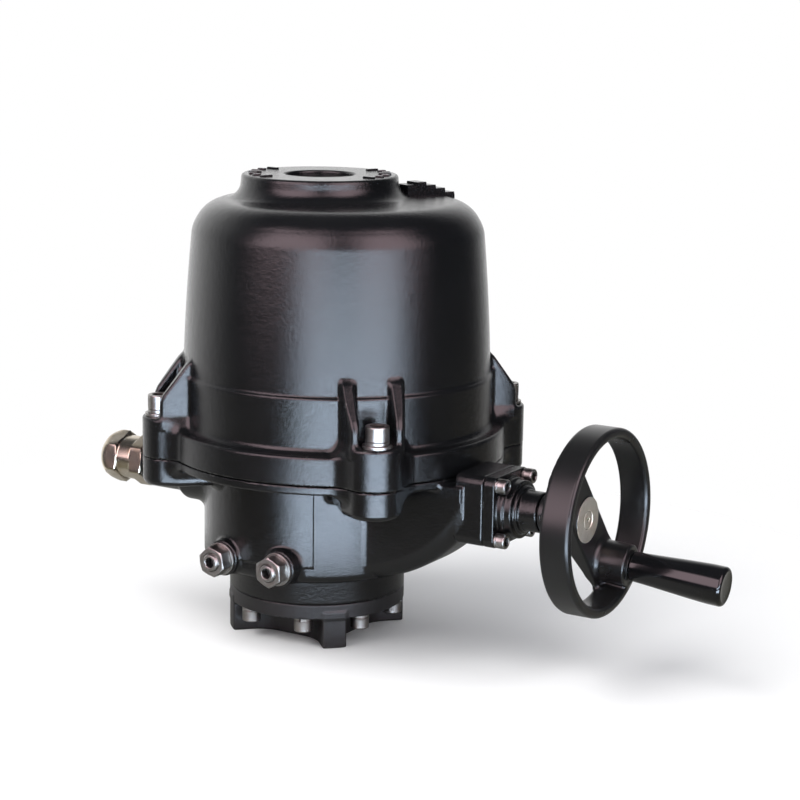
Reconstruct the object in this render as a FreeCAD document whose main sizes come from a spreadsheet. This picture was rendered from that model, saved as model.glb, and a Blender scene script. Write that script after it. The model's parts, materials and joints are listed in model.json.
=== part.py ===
import FreeCAD, Part
import math
import os
import Sketcher

# Quarter-turn electric actuator, in millimetres and degrees.
# Origin: centre of the valve mounting face, on the output axis. +Z points up along the output axis,
# +X points along the handwheel shaft, and the adjustable stops point to -Y.
# The domed cover is not centred on the output axis: its own axis is shifted towards the handwheel.

# Sizes that are set by themselves, each written once
DIMENSIONS = {
    # mounting base, an F10 flange of ISO 5211
    "flange_radius": 62.5,
    "foot_height": 21.0,
    "base_ring": 10.5,
    "core_half": 33.5,
    "foot_width": 17.0,
    "foot_fillet": 6.0,
    "base_bore": 26.0,
    "spigot_radius": 35.0,
    "spigot_height": 3.0,
    "valve_bolt_circle": 102.0,
    "valve_bolt_hole": 4.25,
    "valve_bolt_depth": 18.0,
    "base_screw": 8.0,
    "base_screw_inset": 7.5,
    "base_screw_spread": 23.5,
    "base_screw_length": 26.0,
    # gear housing
    "neck_height": 19.5,
    "bowl_clearance": 3.45,
    "bowl_wall": 6.0,
    "floor_height": 6.0,
    "bowl_rounding": 7.0,
    "bush_bore": 27.0,
    "split": 131.5,
    "housing_flange": 6.0,
    "body_lug": 19.5,
    "body_lug_rounding": 4.0,
    "panel_half_angle": 31.5,
    "panel_margin": 12.5,
    "panel_proud": 0.8,
    "panel_drop": 4.5,
    # cover
    "cover_offset": 15.6,
    "cover_flange_radius": 118.4,
    "cover_flange": 20.0,
    "cover_wall": 6.0,
    "skirt_step": 9.4,
    "skirt_wall": 6.5,
    "skirt_height": 55.5,
    "bead_step": 1.6,
    "bead_height": 2.0,
    "wall_height": 96.5,
    "wall_lean": 6.2,
    "wall_crown": 1500.0,
    "shoulder_rounding": 21.6,
    "crown_rise": 2.7,
    "top_crown": 1200.0,
    # lugs and fins around the cover
    "lug_turn": 45.0,
    "lug_bolt_reach": 6.6,
    "lug_half_width": 21.0,
    "lug_root_inset": 4.4,
    "lug_tip_reach": 11.8,
    "lug_tip_half": 12.8,
    "lug_tip_rounding": 12.0,
    "lug_blend": 13.0,
    "lug_height": 28.0,
    "fin_thickness": 9.0,
    "fin_height": 40.0,
    "fin_shoulder_height": 14.0,
    "fin_reach": 1.8,
    # indicator boss and window
    "boss_radius": 55.2,
    "boss_height": 14.0,
    "boss_edge": 2.0,
    "boss_wall": 7.0,
    "boss_ceiling": 11.8,
    "window_radius": 24.0,
    "lens_radius": 28.0,
    "lens_thickness": 3.2,
    "lens_cover": 5.3,
    "window_seal_thickness": 1.0,
    "window_seal_width": 3.5,
    "retainer_radius": 37.0,
    "retainer_thickness": 2.5,
    "retainer_screw": 4.0,
    "retainer_screw_length": 8.0,
    # cover seal and cover bolts
    "seal_inset": 11.4,
    "seal_width": 3.0,
    "seal_depth": 2.4,
    "cover_bolt": 10.0,
    "cover_bolt_engagement": 15.0,
    # handwheel shaft, its housing and its cap
    "shaft_y": -18.0,
    "shaft_drop": 18.0,
    "duct_front": -44.0,
    "duct_back": 8.0,
    "duct_rounding": 12.0,
    "duct_belly": 110.0,
    "duct_root": 22.0,
    "duct_rise": 3.0,
    "duct_inset": 1.5,
    "pad_half": 24.0,
    "pad_rounding": 6.0,
    "pad_gap": 2.0,
    "pad_length": 21.0,
    "bearing_bore": 14.0,
    "bearing_width": 8.0,
    "shaft_radius": 6.0,
    "shaft_shoulder": 8.0,
    "shaft_tail": 16.5,
    "cap_flange": 8.5,
    "cap_step_radius": 21.0,
    "cap_step": 4.5,
    "cap_boss_radius": 19.6,
    "cap_boss": 5.5,
    "cap_shoulder_radius": 16.0,
    "cap_shoulder": 2.5,
    "cap_neck_radius": 13.7,
    "cap_neck": 13.0,
    "cap_spigot": 2.8,
    "cap_seal_radius": 10.5,
    "cap_seal_width": 6.0,
    "cap_screw": 6.0,
    "cap_screw_offset": 18.5,
    "cap_screw_length": 18.0,
    # handwheel and its revolving handle
    "wheel_radius": 62.5,
    "wheel_width": 21.0,
    "wheel_rim": 7.0,
    "wheel_rim_rounding": 2.6,
    "hub_gap": 0.6,
    "hub_length": 31.2,
    "hub_radius": 13.0,
    "hub_face_radius": 15.5,
    "web_step": 0.8,
    "web_root_depth": 14.8,
    "web_rim_depth": 5.3,
    "web_half_width": 16.3,
    "wheel_dish": 16.7,
    "wheel_turn": -51.0,
    "grub_screw": 5.0,
    "grub_place": 5.0,
    "handle_circle": 44.2,
    "handle_splay": 5.5,
    "handle_boss_radius": 13.8,
    "handle_boss_proud": 2.0,
    "spindle_radius": 4.0,
    "spindle_fit": 12.0,
    "spindle_head_radius": 6.0,
    "spindle_head": 3.0,
    "handle_washer_radius": 10.5,
    "handle_washer": 1.6,
    "grip_root_radius": 9.9,
    "grip_end_radius": 13.3,
    "grip_length": 65.0,
    "grip_taper": 55.0,
    "grip_rounding": 2.5,
    "grip_cap": 20.0,
    # adjustable stops
    "stop_x": 23.5,
    "stop_boss_radius": 12.5,
    "stop_boss_reach": 3.4,
    "stop_screw_radius": 6.0,
    "stop_screw_proud": 2.0,
    "stop_washer": 2.5,
    "stop_washer_radius": 11.5,
    "stop_nut_flats": 19.0,
    "stop_nut": 10.0,
    "stop_face": 22.0,
    "stop_arm_width": 15.0,
    # cable entries, cable gland and blanking plug
    "entry_y": 40.0,
    "entry_drop": 19.5,
    "entry_reach": 12.2,
    "entry_radius": 18.0,
    "entry_collar_radius": 22.5,
    "entry_collar_back": 34.0,
    "entry_bore": 12.5,
    "gland_hex_flats": 33.0,
    "gland_hex": 11.5,
    "gland_neck_radius": 13.0,
    "gland_neck": 0.5,
    "gland_bore": 8.5,
    "gland_seal_radius": 9.4,
    "gland_collar_radius": 15.8,
    "gland_collar": 11.0,
    "gland_nut_flats": 33.0,
    "gland_nut": 17.5,
    "gland_nut_hex": 7.0,
    "gland_nut_bevel": 1.3,
    "gland_dome": 15.0,
    "gland_end_radius": 10.9,
    "gland_pocket": 15.5,
    "plug_head": 7.0,
    "cable_radius": 6.5,
    "entry_mouth": 1.5,
    # drive train
    "sleeve_radius": 22.0,
    "sleeve_bottom": 2.0,
    "sleeve_top_radius": 14.0,
    "insert_flats": 30.0,
    "insert_height": 44.0,
    "drive_bore": 11.0,
    "drive_key_width": 6.0,
    "drive_key_depth": 2.8,
    "lever_gap": 2.0,
    "lever_height": 9.2,
    "lever_hub": 27.0,
    "gear_gap": 1.8,
    "gear_height": 16.0,
    "spur_module": 1.5,
    "output_teeth": 58,
    "pinion_teeth": 13,
    "worm_centres": 27.0,
    "worm_radius": 8.9,
    "worm_length": 28.0,
    "worm_wheel_radius": 17.9,
    "worm_wheel_height": 12.0,
    "transfer_radius": 6.0,
    "transfer_shoulder": 8.1,
    "transfer_bush_wall": 3.0,
    "transfer_sink": 3.0,
    "floor_boss_radius": 12.0,
    "top_gear_module": 1.0,
    "top_gear_teeth": 38,
    "motor_teeth": 12,
    "top_gear_drop": 6.7,
    "top_gear_height": 5.0,
    "motor_turn": 120.0,
    "motor_shaft_radius": 4.0,
    "motor_shaft_fit": 18.0,
    "motor_opening": 9.0,
    # inside of the cover
    "plate_gap": 5.5,
    "plate_thickness": 4.0,
    "plate_screw": 5.0,
    "plate_screw_inset": 7.0,
    "plate_screw_length": 8.5,
    "motor_head_radius": 34.0,
    "motor_head": 30.0,
    "motor_radius": 31.0,
    "motor_length": 78.0,
    "capacitor_radius": 17.0,
    "capacitor_height": 62.0,
    "capacitor_x": 28.0,
    "capacitor_y": -58.0,
    "clip_wall": 2.0,
    "clip_height": 18.0,
    "terminal_count": 10,
    "terminal_x": -66.0,
    "terminal_width": 16.0,
    "terminal_pitch": 8.0,
    "terminal_slot": 4.0,
    "terminal_height": 18.0,
    "rail_height": 6.0,
    "bracket_x": -44.0,
    "bracket_sheet": 3.0,
    "bracket_width": 44.0,
    "bracket_foot": 16.0,
    "switch_length": 22.0,
    "switch_width": 28.0,
    "switch_height": 10.0,
    "indicator_radius": 5.0,
    "indicator_fit": 18.0,
    "dial_radius": 22.0,
    "dial_thickness": 2.0,
    "cam_radius": 15.0,
    "cam_height": 8.0,
    "cam_pitch": 14.0,
    "cam_rise": 52.5,
    "cam_notch": 2.5,
    # clearances
    "thread_gap": 0.05,
    "running_gap": 0.05,
    "fit_gap": 0.1,
    "seat_gap": 0.2,
    # how far a piece of a solid reaches into the piece that it is joined to
    "overlap": 1.0,
}

# Sizes that follow from the ones above
DERIVED = {
    # heights, from the mounting face upwards
    "ring_bottom": "foot_height",
    "ring_top": "ring_bottom + base_ring",
    "neck_bottom": "ring_top + spigot_height + seat_gap",
    "neck_top": "ring_top + neck_height",
    "bowl_floor": "neck_top + floor_height",
    "lever_bottom": "bowl_floor + lever_gap",
    "lever_top": "lever_bottom + lever_height",
    "stop_z": "(lever_bottom + lever_top) / 2",
    "gear_bottom": "lever_top + gear_gap",
    "gear_top": "gear_bottom + gear_height",
    "flange_plate_bottom": "split - housing_flange",
    "body_lug_bottom": "split - body_lug",
    "panel_bottom": "neck_top + panel_margin",
    "panel_top": "flange_plate_bottom - panel_drop",
    "shaft_z": "split - shaft_drop",
    "entry_z": "split - entry_drop",
    "top_gear_bottom": "split - top_gear_drop",
    "plate_top": "split + plate_thickness",
    "transfer_bottom": "bowl_floor - transfer_sink",
    "transfer_top": "plate_top - seat_gap",
    "cover_flange_top": "split + cover_flange",
    "lug_seat": "split + lug_height",
    "fin_shoulder": "lug_seat + fin_shoulder_height",
    "fin_top": "lug_seat + fin_height",
    "skirt_top": "split + skirt_height",
    "bead_top": "skirt_top + bead_height",
    "shoulder_start": "bead_top + wall_height",
    "crown_edge": "shoulder_start + shoulder_rounding",
    "crown_top": "crown_edge + crown_rise",
    "boss_top": "crown_top + boss_height",
    "boss_pocket_top": "boss_top - boss_ceiling",
    "lens_seat": "boss_top - lens_cover",
    "lens_top": "lens_seat - window_seal_thickness",
    "lens_bottom": "lens_top - lens_thickness",
    "retainer_bottom": "boss_pocket_top - retainer_thickness",
    "indicator_top": "boss_pocket_top",
    "cam_bottom": "plate_top + cam_rise",
    # gear train
    "spur_centres": "spur_module * (pinion_teeth + output_teeth) / 2",
    "top_centres": "top_gear_module * (top_gear_teeth + motor_teeth) / 2",
    "transfer_y": "shaft_y + worm_centres",
    "transfer_x": "sqrt(spur_centres ^ 2 - transfer_y ^ 2)",
    "motor_x": "transfer_x + top_centres * cos(motor_turn)",
    "motor_y": "transfer_y + top_centres * sin(motor_turn)",
    "worm_wheel_bottom": "shaft_z - worm_wheel_height / 2",
    # radii about the output axis
    "base_screw_circle": "flange_radius - base_screw_inset",
    "cavity_radius": "spur_centres + worm_wheel_radius + bowl_clearance",
    "bowl_radius": "cavity_radius + bowl_wall",
    "retainer_screw_circle": "(lens_radius + retainer_radius) / 2",
    "stop_boss_end": "bowl_radius + stop_boss_reach",
    "stop_screw_end": "stop_boss_end + stop_washer + stop_nut + stop_screw_proud",
    # radii about the cover's axis
    "skirt_radius": "cover_flange_radius - skirt_step",
    "bead_radius": "skirt_radius - bead_step",
    "shoulder_radius": "bead_radius - wall_lean",
    "cover_bore": "skirt_radius - skirt_wall",
    "seal_radius": "cover_flange_radius - seal_inset",
    "lug_root": "cover_flange_radius - lug_root_inset",
    "lug_bolt_circle": "cover_flange_radius + lug_bolt_reach",
    "lug_tip": "lug_bolt_circle + lug_tip_reach",
    "fin_end": "lug_bolt_circle + fin_reach",
    "plate_radius": "cover_bore - plate_gap",
    "plate_screw_circle": "plate_radius - plate_screw_inset",
    # places along the handwheel shaft
    "pad_start": "cover_offset + cover_flange_radius + pad_gap",
    "pad_end": "pad_start + pad_length",
    "bearing_outer_x": "pad_end - cap_spigot - bearing_width - 2 * seat_gap",
    "bearing_inner_x": "bowl_radius + overlap",
    "shaft_start": "transfer_x - shaft_tail",
    "cap_front": "pad_end + cap_flange + cap_step + cap_boss + cap_shoulder + cap_neck",
    "hub_start": "cap_front + hub_gap",
    "hub_front": "hub_start + hub_length",
    "web_front": "hub_front - web_step",
    "web_root_back": "hub_front - web_root_depth",
    "web_rim_back": "hub_front - web_rim_depth",
    "wheel_front": "hub_front + wheel_dish",
    "handle_boss_end": "wheel_front + handle_boss_proud",
    # places along the cable entries
    "entry_face": "cover_flange_radius - cover_offset + entry_reach",
    "gland_nut_start": "entry_face + gland_hex + gland_neck",
    # inside of the cover
    "terminal_length": "(terminal_count + 0.5) * terminal_pitch",
}

AXES = {
    "Z": FreeCAD.Rotation(),
    "-Z": FreeCAD.Rotation(FreeCAD.Vector(1, 0, 0), 180),
    "X": FreeCAD.Rotation(FreeCAD.Vector(0, 1, 0), 90),
    "-X": FreeCAD.Rotation(FreeCAD.Vector(0, 1, 0), -90),
    "-Y": FreeCAD.Rotation(FreeCAD.Vector(1, 0, 0), 90),
}
QUARTERS = (0, 90, 180, 270)

doc = FreeCAD.newDocument("QuarterTurnActuator")
sheet = doc.addObject("Spreadsheet::Sheet", "dim")
rows = [*DIMENSIONS.items(), *((name, "=" + formula) for name, formula in DERIVED.items())]
for row, (alias, size) in enumerate(rows, start=1):
    sheet.set(f"A{row}", alias)
    sheet.set(f"B{row}", str(size))
    sheet.setAlias(f"B{row}", alias)
doc.recompute()
subparts = []


def value(expression):
    """The number that an expression on the sheet gives."""
    return float(sheet.evalExpression(str(expression)))


def subpart(node, solid):
    """Names a finished sub-part; its label is the name of its file."""
    solid.Label = node
    subparts.append(solid)
    return solid


# Part primitives and booleans, with every size and place bound to the sheet

def place(solid, at, axis="Z"):
    solid.Placement = FreeCAD.Placement(FreeCAD.Vector(), AXES[axis])
    for coordinate, expression in zip("xyz", at):
        solid.setExpression(f".Placement.Base.{coordinate}", str(expression))
    return solid


def cylinder(name, radius, height, at=(0, 0, 0), axis="Z"):
    solid = doc.addObject("Part::Cylinder", name)
    solid.setExpression("Radius", str(radius))
    solid.setExpression("Height", str(height))
    return place(solid, at, axis)


def box(name, size, at):
    solid = doc.addObject("Part::Box", name)
    for side, expression in zip(("Length", "Width", "Height"), size):
        solid.setExpression(side, str(expression))
    return place(solid, at)


def prism(name, sides, flats, height, at=(0, 0, 0), axis="Z"):
    """A regular prism given by its width across flats."""
    solid = doc.addObject("Part::Prism", name)
    solid.Polygon = sides
    solid.setExpression("Circumradius", f"({flats}) / 2 / cos({180 / sides})")
    solid.setExpression("Height", str(height))
    return place(solid, at, axis)


def fuse(name, *solids):
    whole = doc.addObject("Part::MultiFuse", name)
    whole.Shapes = list(solids)
    return whole


def common(name, *solids):
    whole = doc.addObject("Part::MultiCommon", name)
    whole.Shapes = list(solids)
    return whole


def cut(name, base, *tools):
    rest = doc.addObject("Part::Cut", name)
    rest.Base = base
    rest.Tool = tools[0] if len(tools) == 1 else fuse(name + "Tools", *tools)
    return rest


def group(name, solids):
    """Separate equal pieces kept together, such as a set of screws."""
    whole = doc.addObject("Part::Compound", name)
    whole.Links = list(solids)
    return whole


def ring(name, outer, inner, height, at=(0, 0, 0), axis="Z"):
    return cut(name, cylinder(name + "Blank", outer, height, at, axis),
               cylinder(name + "Bore", inner, height, at, axis))


# Part Design bodies, with sketches whose points are bound to the sheet

def new_body(name):
    return doc.addObject("PartDesign::Body", name)


def sketch(body, name, role, offset=(0, 0, 0)):
    """A sketch on one of the body's own origin planes, moved by offset in the sketch's own directions."""
    sk = body.newObject("Sketcher::SketchObject", name)
    plane = [feature for feature in body.Origin.OriginFeatures if feature.Role == role][0]
    sk.AttachmentSupport = [(plane, "")]
    sk.MapMode = "FlatFace"
    for coordinate, expression in zip("xyz", offset):
        sk.setExpression(f".AttachmentOffset.Base.{coordinate}", str(expression))
    return sk


def pin_point(sk, edge, end, point):
    """Ties one end of an edge to two expressions."""
    for direction, expression in zip(("DistanceX", "DistanceY"), point):
        index = sk.addConstraint(Sketcher.Constraint(direction, -1, 1, edge, end, value(expression)))
        sk.setExpression(f"Constraints[{index}]", str(expression))


def arc_edge(start, end, radius):
    """An arc between two points; it turns to the left of the way from start to end for a positive radius."""
    start, end = FreeCAD.Vector(*start, 0), FreeCAD.Vector(*end, 0)
    way = end - start
    side = FreeCAD.Vector(-way.y, way.x, 0).normalize() * math.copysign(1, radius)
    centre = (start + end) / 2 + side * math.sqrt(max(radius * radius - way.Length ** 2 / 4, 0))
    first, last = (start, end) if radius > 0 else (end, start)
    angles = [math.atan2(point.y - centre.y, point.x - centre.x) for point in (first, last)]
    circle_edge = Part.Circle(centre, FreeCAD.Vector(0, 0, 1), abs(radius))
    return Part.ArcOfCircle(circle_edge, angles[0], angles[1])


def outline(sk, points, arcs=None):
    """A closed outline; arcs gives a radius expression for the edge that starts at that point."""
    arcs = arcs or {}
    numbers = [tuple(value(expression) for expression in point) for point in points]
    ends = []
    for index, start in enumerate(numbers):
        end = numbers[(index + 1) % len(numbers)]
        if index in arcs:
            radius = value(arcs[index])
            edge = sk.addGeometry(arc_edge(start, end, radius), False)
            ends.append((1, 2) if radius > 0 else (2, 1))
            constraint = sk.addConstraint(Sketcher.Constraint("Radius", edge, abs(radius)))
            sk.setExpression(f"Constraints[{constraint}]", f"abs({arcs[index]})")
        else:
            sk.addGeometry(Part.LineSegment(FreeCAD.Vector(*start, 0), FreeCAD.Vector(*end, 0)), False)
            ends.append((1, 2))
    for index, point in enumerate(points):
        pin_point(sk, index, ends[index][0], point)
        following = (index + 1) % len(points)
        sk.addConstraint(Sketcher.Constraint("Coincident", index, ends[index][1], following,
                                             ends[following][0]))
    return sk


def circle(sk, radius, x=0, y=0):
    centre = FreeCAD.Vector(value(x), value(y), 0)
    index = sk.addGeometry(Part.Circle(centre, FreeCAD.Vector(0, 0, 1), value(radius)), False)
    constraint = sk.addConstraint(Sketcher.Constraint("Radius", index, value(radius)))
    sk.setExpression(f"Constraints[{constraint}]", str(radius))
    pin_point(sk, index, 3, (x, y))
    return sk


def pad(body, sk, length, kind="PartDesign::Pad", reverse=False):
    feature = body.newObject(kind, sk.Name + "Solid")
    feature.Profile = sk
    feature.setExpression("Length", str(length))
    feature.Reversed = reverse
    sk.Visibility = False
    return feature


def pocket(body, sk, length, reverse=False):
    return pad(body, sk, length, "PartDesign::Pocket", reverse)


def revolve(body, sk, kind="PartDesign::Revolution", axis="V_Axis"):
    feature = body.newObject(kind, sk.Name + "Solid")
    feature.Profile = sk
    feature.ReferenceAxis = (sk, [axis])
    feature.Angle = 360
    return feature


def around(body, features, sk, count=4):
    """Repeats features evenly about the axis that stands on a sketch at its origin."""
    pattern = body.newObject("PartDesign::PolarPattern", features[0].Name + "Around")
    pattern.Originals = features
    pattern.Axis = (sk, ["N_Axis"])
    pattern.Angle = 360
    pattern.Occurrences = count
    body.Tip = pattern
    return pattern


def fillet(body, radius, chosen):
    """Rounds the edges of the body's last feature that the test chosen picks."""
    doc.recompute()
    last = body.Tip
    names = [f"Edge{index}" for index, edge in enumerate(last.Shape.Edges, start=1) if chosen(edge)]
    feature = body.newObject("PartDesign::Fillet", "Rounding")
    feature.Base = (last, names)
    feature.setExpression("Radius", str(radius))
    body.Tip = feature
    return feature


def kind(edge):
    """The type of an edge's curve, or nothing for an edge that has shrunk to a point."""
    return None if edge.Degenerated else edge.Curve.TypeId


def is_upright(edge):
    """True for a straight edge parallel to Z."""
    return kind(edge) == "Part::GeomLine" and abs(edge.Curve.Direction.z) > 0.999


def is_level_circle(edge, radius, height):
    """True for a whole or part circle of a radius in a level plane."""
    if kind(edge) != "Part::GeomCircle" or abs(edge.Curve.Axis.z) < 0.999:
        return False
    return abs(edge.Curve.Radius - radius) < 0.01 and abs(edge.Curve.Center.z - height) < 0.01


# Fasteners, whose heads and washers follow from the screw's own diameter

def lock_height(size):
    return f"0.26 * ({size})"


def flat_height(size):
    return f"0.2 * ({size})"


def head_radius(size):
    return f"0.75 * ({size}) + 0.5"


def along(at, axis, distance):
    """A place moved by a distance along one of the axes."""
    direction = AXES[axis].multVec(FreeCAD.Vector(0, 0, 1))
    return [f"({start}) + ({round(part)}) * ({distance})" for start, part in zip(at, direction)]


def socket_screw(name, size, length, at, axis):
    """A cap screw with a hexagon socket; at is its head's seat, axis points from the shank to the head."""
    shank = cylinder(name + "Shank", f"({size}) / 2", length, along(at, axis, f"-({length})"), axis)
    head = cylinder(name + "Head", head_radius(size), size, at, axis)
    socket = prism(name + "Socket", 6, f"0.83 * ({size})", size, along(at, axis, f"({size}) / 2"), axis)
    return cut(name, fuse(name + "Blank", shank, head), socket)


def lock_washer(name, size, at, axis):
    return ring(name, head_radius(size), f"({size}) / 2 + dim.fit_gap", lock_height(size), at, axis)


COVER_X = "dim.cover_offset"
TRANSFER_AT = ("dim.transfer_x", "dim.transfer_y")
MOTOR_AT = ("dim.motor_x", "dim.motor_y")
SHAFT_AT = ("dim.shaft_y", "dim.shaft_z")


def lug_place(angle):
    """X and Y of a cover bolt, an angle from the first lug."""
    turned = f"(dim.lug_turn + {angle})"
    return f"{COVER_X} + dim.lug_bolt_circle * cos{turned}", f"dim.lug_bolt_circle * sin{turned}"


# Mounting base

def mounting_base():
    body = new_body("BaseBody")
    ring_sketch = circle(sketch(body, "BaseRing", "XY_Plane", (0, 0, "dim.ring_bottom")),
                         "dim.flange_radius")
    pad(body, ring_sketch, "dim.base_ring")
    foot_sketch = circle(sketch(body, "BaseFeet", "XY_Plane"), "dim.flange_radius")
    pad(body, foot_sketch, "dim.ring_bottom")
    # one scallop between two feet, repeated four times
    half = "dim.foot_width / 2 / cos(45)"
    reach = "2 * dim.flange_radius"
    scallop = outline(sketch(body, "Scallop", "XY_Plane"), [
        (f"dim.core_half - {half}", "dim.core_half"),
        (f"{reach} - {half}", reach),
        (f"{half} - {reach}", reach),
        (f"{half} - dim.core_half", "dim.core_half"),
    ])
    gap = pocket(body, scallop, "dim.ring_bottom", reverse=True)
    around(body, [gap], scallop)
    corner = value("dim.core_half")
    fillet(body, "dim.foot_fillet", lambda edge: is_upright(edge) and any(
        abs(abs(edge.Curve.Location[axis]) - corner) < 0.01 for axis in (0, 1)))
    spigot = circle(sketch(body, "BaseSpigot", "XY_Plane", (0, 0, "dim.ring_top")), "dim.spigot_radius")
    pad(body, spigot, "dim.spigot_height")
    doc.recompute()
    tools = [cylinder("BaseBore", "dim.base_bore", "dim.ring_top + dim.spigot_height")]
    for angle in QUARTERS:
        turned = f"({angle} + 45)"
        at = (f"dim.valve_bolt_circle / 2 * cos{turned}", f"dim.valve_bolt_circle / 2 * sin{turned}", 0)
        tools.append(cylinder("ValveBoltHole", "dim.valve_bolt_hole", "dim.valve_bolt_depth", at))
    for x, y in base_screw_places():
        tools.append(cylinder("BaseScrewHole", "dim.base_screw / 2 + dim.seat_gap", "dim.ring_top",
                              (x, y, 0)))
    return subpart("mounting_base", cut("MountingBase", body, *tools))


def base_screw_places():
    """Two screws in each scallop, the same angle to either side of its middle."""
    for quarter in QUARTERS:
        for side in (-1, 1):
            turned = f"({quarter} + {side} * dim.base_screw_spread)"
            yield f"dim.base_screw_circle * cos{turned}", f"dim.base_screw_circle * sin{turned}"


def base_fasteners():
    screws, washers = [], []
    size = "dim.base_screw"
    for x, y in base_screw_places():
        washers.append(lock_washer("BaseWasher", size, (x, y, "dim.ring_bottom"), "-Z"))
        seat = (x, y, f"dim.ring_bottom - {lock_height(size)}")
        screws.append(socket_screw("BaseScrew", size, "dim.base_screw_length", seat, "-Z"))
    subpart("base_lock_washers", group("BaseWashers", washers))
    subpart("base_screws", group("BaseScrews", screws))


# Gear housing

def lug_sketch(body, name, height):
    """Outline of one lug that grows out of the round flange, in the lug's own direction."""
    inner = "dim.lug_root - dim.lug_blend - dim.overlap"
    return outline(sketch(body, name, "XY_Plane", (0, 0, height)), [
        (inner, "-dim.lug_half_width"),
        ("dim.lug_root", "-dim.lug_half_width"),
        ("dim.lug_tip", "-dim.lug_tip_half"),
        ("dim.lug_tip", "dim.lug_tip_half"),
        ("dim.lug_root", "dim.lug_half_width"),
        (inner, "dim.lug_half_width"),
    ])


def lugged_flange(body, bottom, top, lug_bottom):
    """Round flange with four lugs, blended into each other in plan; made in the frame of the lugs."""
    disc = circle(sketch(body, "FlangeDisc", "XY_Plane", (0, 0, bottom)), "dim.cover_flange_radius")
    pad(body, disc, f"{top} - {bottom}")
    lug = lug_sketch(body, "FlangeLug", lug_bottom)
    around(body, [pad(body, lug, f"{top} - {lug_bottom}")], disc)
    flange_radius = value("dim.cover_flange_radius")
    tip = value("dim.lug_tip")
    fillet(body, "dim.lug_blend", lambda edge: is_upright(edge)
           and abs(math.hypot(*edge.Curve.Location[:2]) - flange_radius) < 0.5)
    fillet(body, "dim.lug_tip_rounding", lambda edge: is_upright(edge)
           and max(abs(edge.Curve.Location.x), abs(edge.Curve.Location.y)) > tip - 0.01)
    return disc


def in_lug_frame(body):
    """Puts a body made about its own Z axis on the cover's axis, with its X axis along the front lug."""
    upright = FreeCAD.Vector(0, 0, 1)
    body.Placement = FreeCAD.Placement(FreeCAD.Vector(), FreeCAD.Rotation(upright, value("dim.lug_turn")))
    body.setExpression(".Placement.Base.x", COVER_X)
    body.setExpression(".Placement.Rotation.Angle", "dim.lug_turn")
    return body


def housing_flange():
    body = new_body("HousingFlange")
    lugged_flange(body, "dim.flange_plate_bottom", "dim.split", "dim.body_lug_bottom")
    low, root = value("dim.body_lug_bottom"), value("dim.lug_root")
    fillet(body, "dim.body_lug_rounding", lambda edge: edge.BoundBox.ZMax < low + 0.01
           and max(edge.BoundBox.XMax, -edge.BoundBox.XMin,
                   edge.BoundBox.YMax, -edge.BoundBox.YMin) > root + 0.01)
    return in_lug_frame(body)


def housing_bowl():
    body = new_body("HousingBowl")
    profile = outline(sketch(body, "BowlProfile", "XZ_Plane"), [
        ("dim.bush_bore", "dim.neck_bottom"),
        ("dim.spigot_radius + dim.fit_gap", "dim.neck_bottom"),
        ("dim.spigot_radius + dim.fit_gap", "dim.ring_top"),
        ("dim.flange_radius", "dim.ring_top"),
        ("dim.flange_radius", "dim.neck_top"),
        ("dim.bowl_radius", "dim.neck_top"),
        ("dim.bowl_radius", "dim.split"),
        ("dim.cavity_radius", "dim.split"),
        ("dim.cavity_radius", "dim.bowl_floor"),
        ("dim.bush_bore", "dim.bowl_floor"),
    ])
    revolve(body, profile)
    edge_radius, edge_height = value("dim.bowl_radius"), value("dim.neck_top")
    fillet(body, "dim.bowl_rounding", lambda edge: is_level_circle(edge, edge_radius, edge_height))
    return body


def front_panel():
    """A thin raised field on the front of the bowl, above the stops."""
    body = new_body("FrontPanel")
    section = outline(sketch(body, "PanelSection", "YZ_Plane"), [
        ("-dim.bowl_radius + dim.overlap", "dim.panel_bottom"),
        ("-dim.bowl_radius - dim.panel_proud", "dim.panel_bottom"),
        ("-dim.bowl_radius - dim.panel_proud", "dim.panel_top"),
        ("-dim.bowl_radius + dim.overlap", "dim.panel_top"),
    ])
    turn = body.newObject("PartDesign::Revolution", "PanelTurn")
    turn.Profile = section
    turn.ReferenceAxis = (section, ["V_Axis"])
    turn.Midplane = True
    turn.setExpression("Angle", "2 * dim.panel_half_angle")
    return body


def shaft_duct():
    """The swelling that carries the handwheel shaft, from the bowl to its square pad."""
    body = new_body("ShaftDuct")
    start, end = "dim.cavity_radius - dim.duct_root", "dim.pad_start + dim.overlap"
    side = outline(sketch(body, "DuctSide", "XZ_Plane", (0, 0, "-dim.duct_back")), [
        (start, "dim.neck_top + dim.duct_rise"),
        ("dim.cavity_radius", "dim.neck_top + dim.duct_rise"),
        (end, "dim.shaft_z - dim.pad_half + dim.duct_inset"),
        (end, "dim.flange_plate_bottom + dim.duct_rise"),
        (start, "dim.flange_plate_bottom + dim.duct_rise"),
    ], arcs={1: "dim.duct_belly"})
    pad(body, side, "dim.duct_back - dim.duct_front")
    low, long = value("dim.shaft_z"), value("dim.pad_start - dim.cavity_radius") / 2
    fillet(body, "dim.duct_rounding",
           lambda edge: edge.BoundBox.ZMax < low and edge.BoundBox.XLength > long)
    return body


def shaft_pad():
    body = new_body("ShaftPad")
    face = outline(sketch(body, "PadFace", "YZ_Plane", (0, 0, "dim.pad_start")),
                   square_corners("dim.pad_half"))
    pad(body, face, "dim.pad_length")
    length = value("dim.pad_length")
    fillet(body, "dim.pad_rounding", lambda edge: abs(edge.BoundBox.XLength - length) < 0.01)
    return body


def square_corners(half):
    """Corners of a square about the handwheel shaft, on the plane across it."""
    return [(f"dim.shaft_y + {sy} * {half}", f"dim.shaft_z + {sz} * {half}")
            for sy, sz in ((-1, -1), (1, -1), (1, 1), (-1, 1))]


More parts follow.
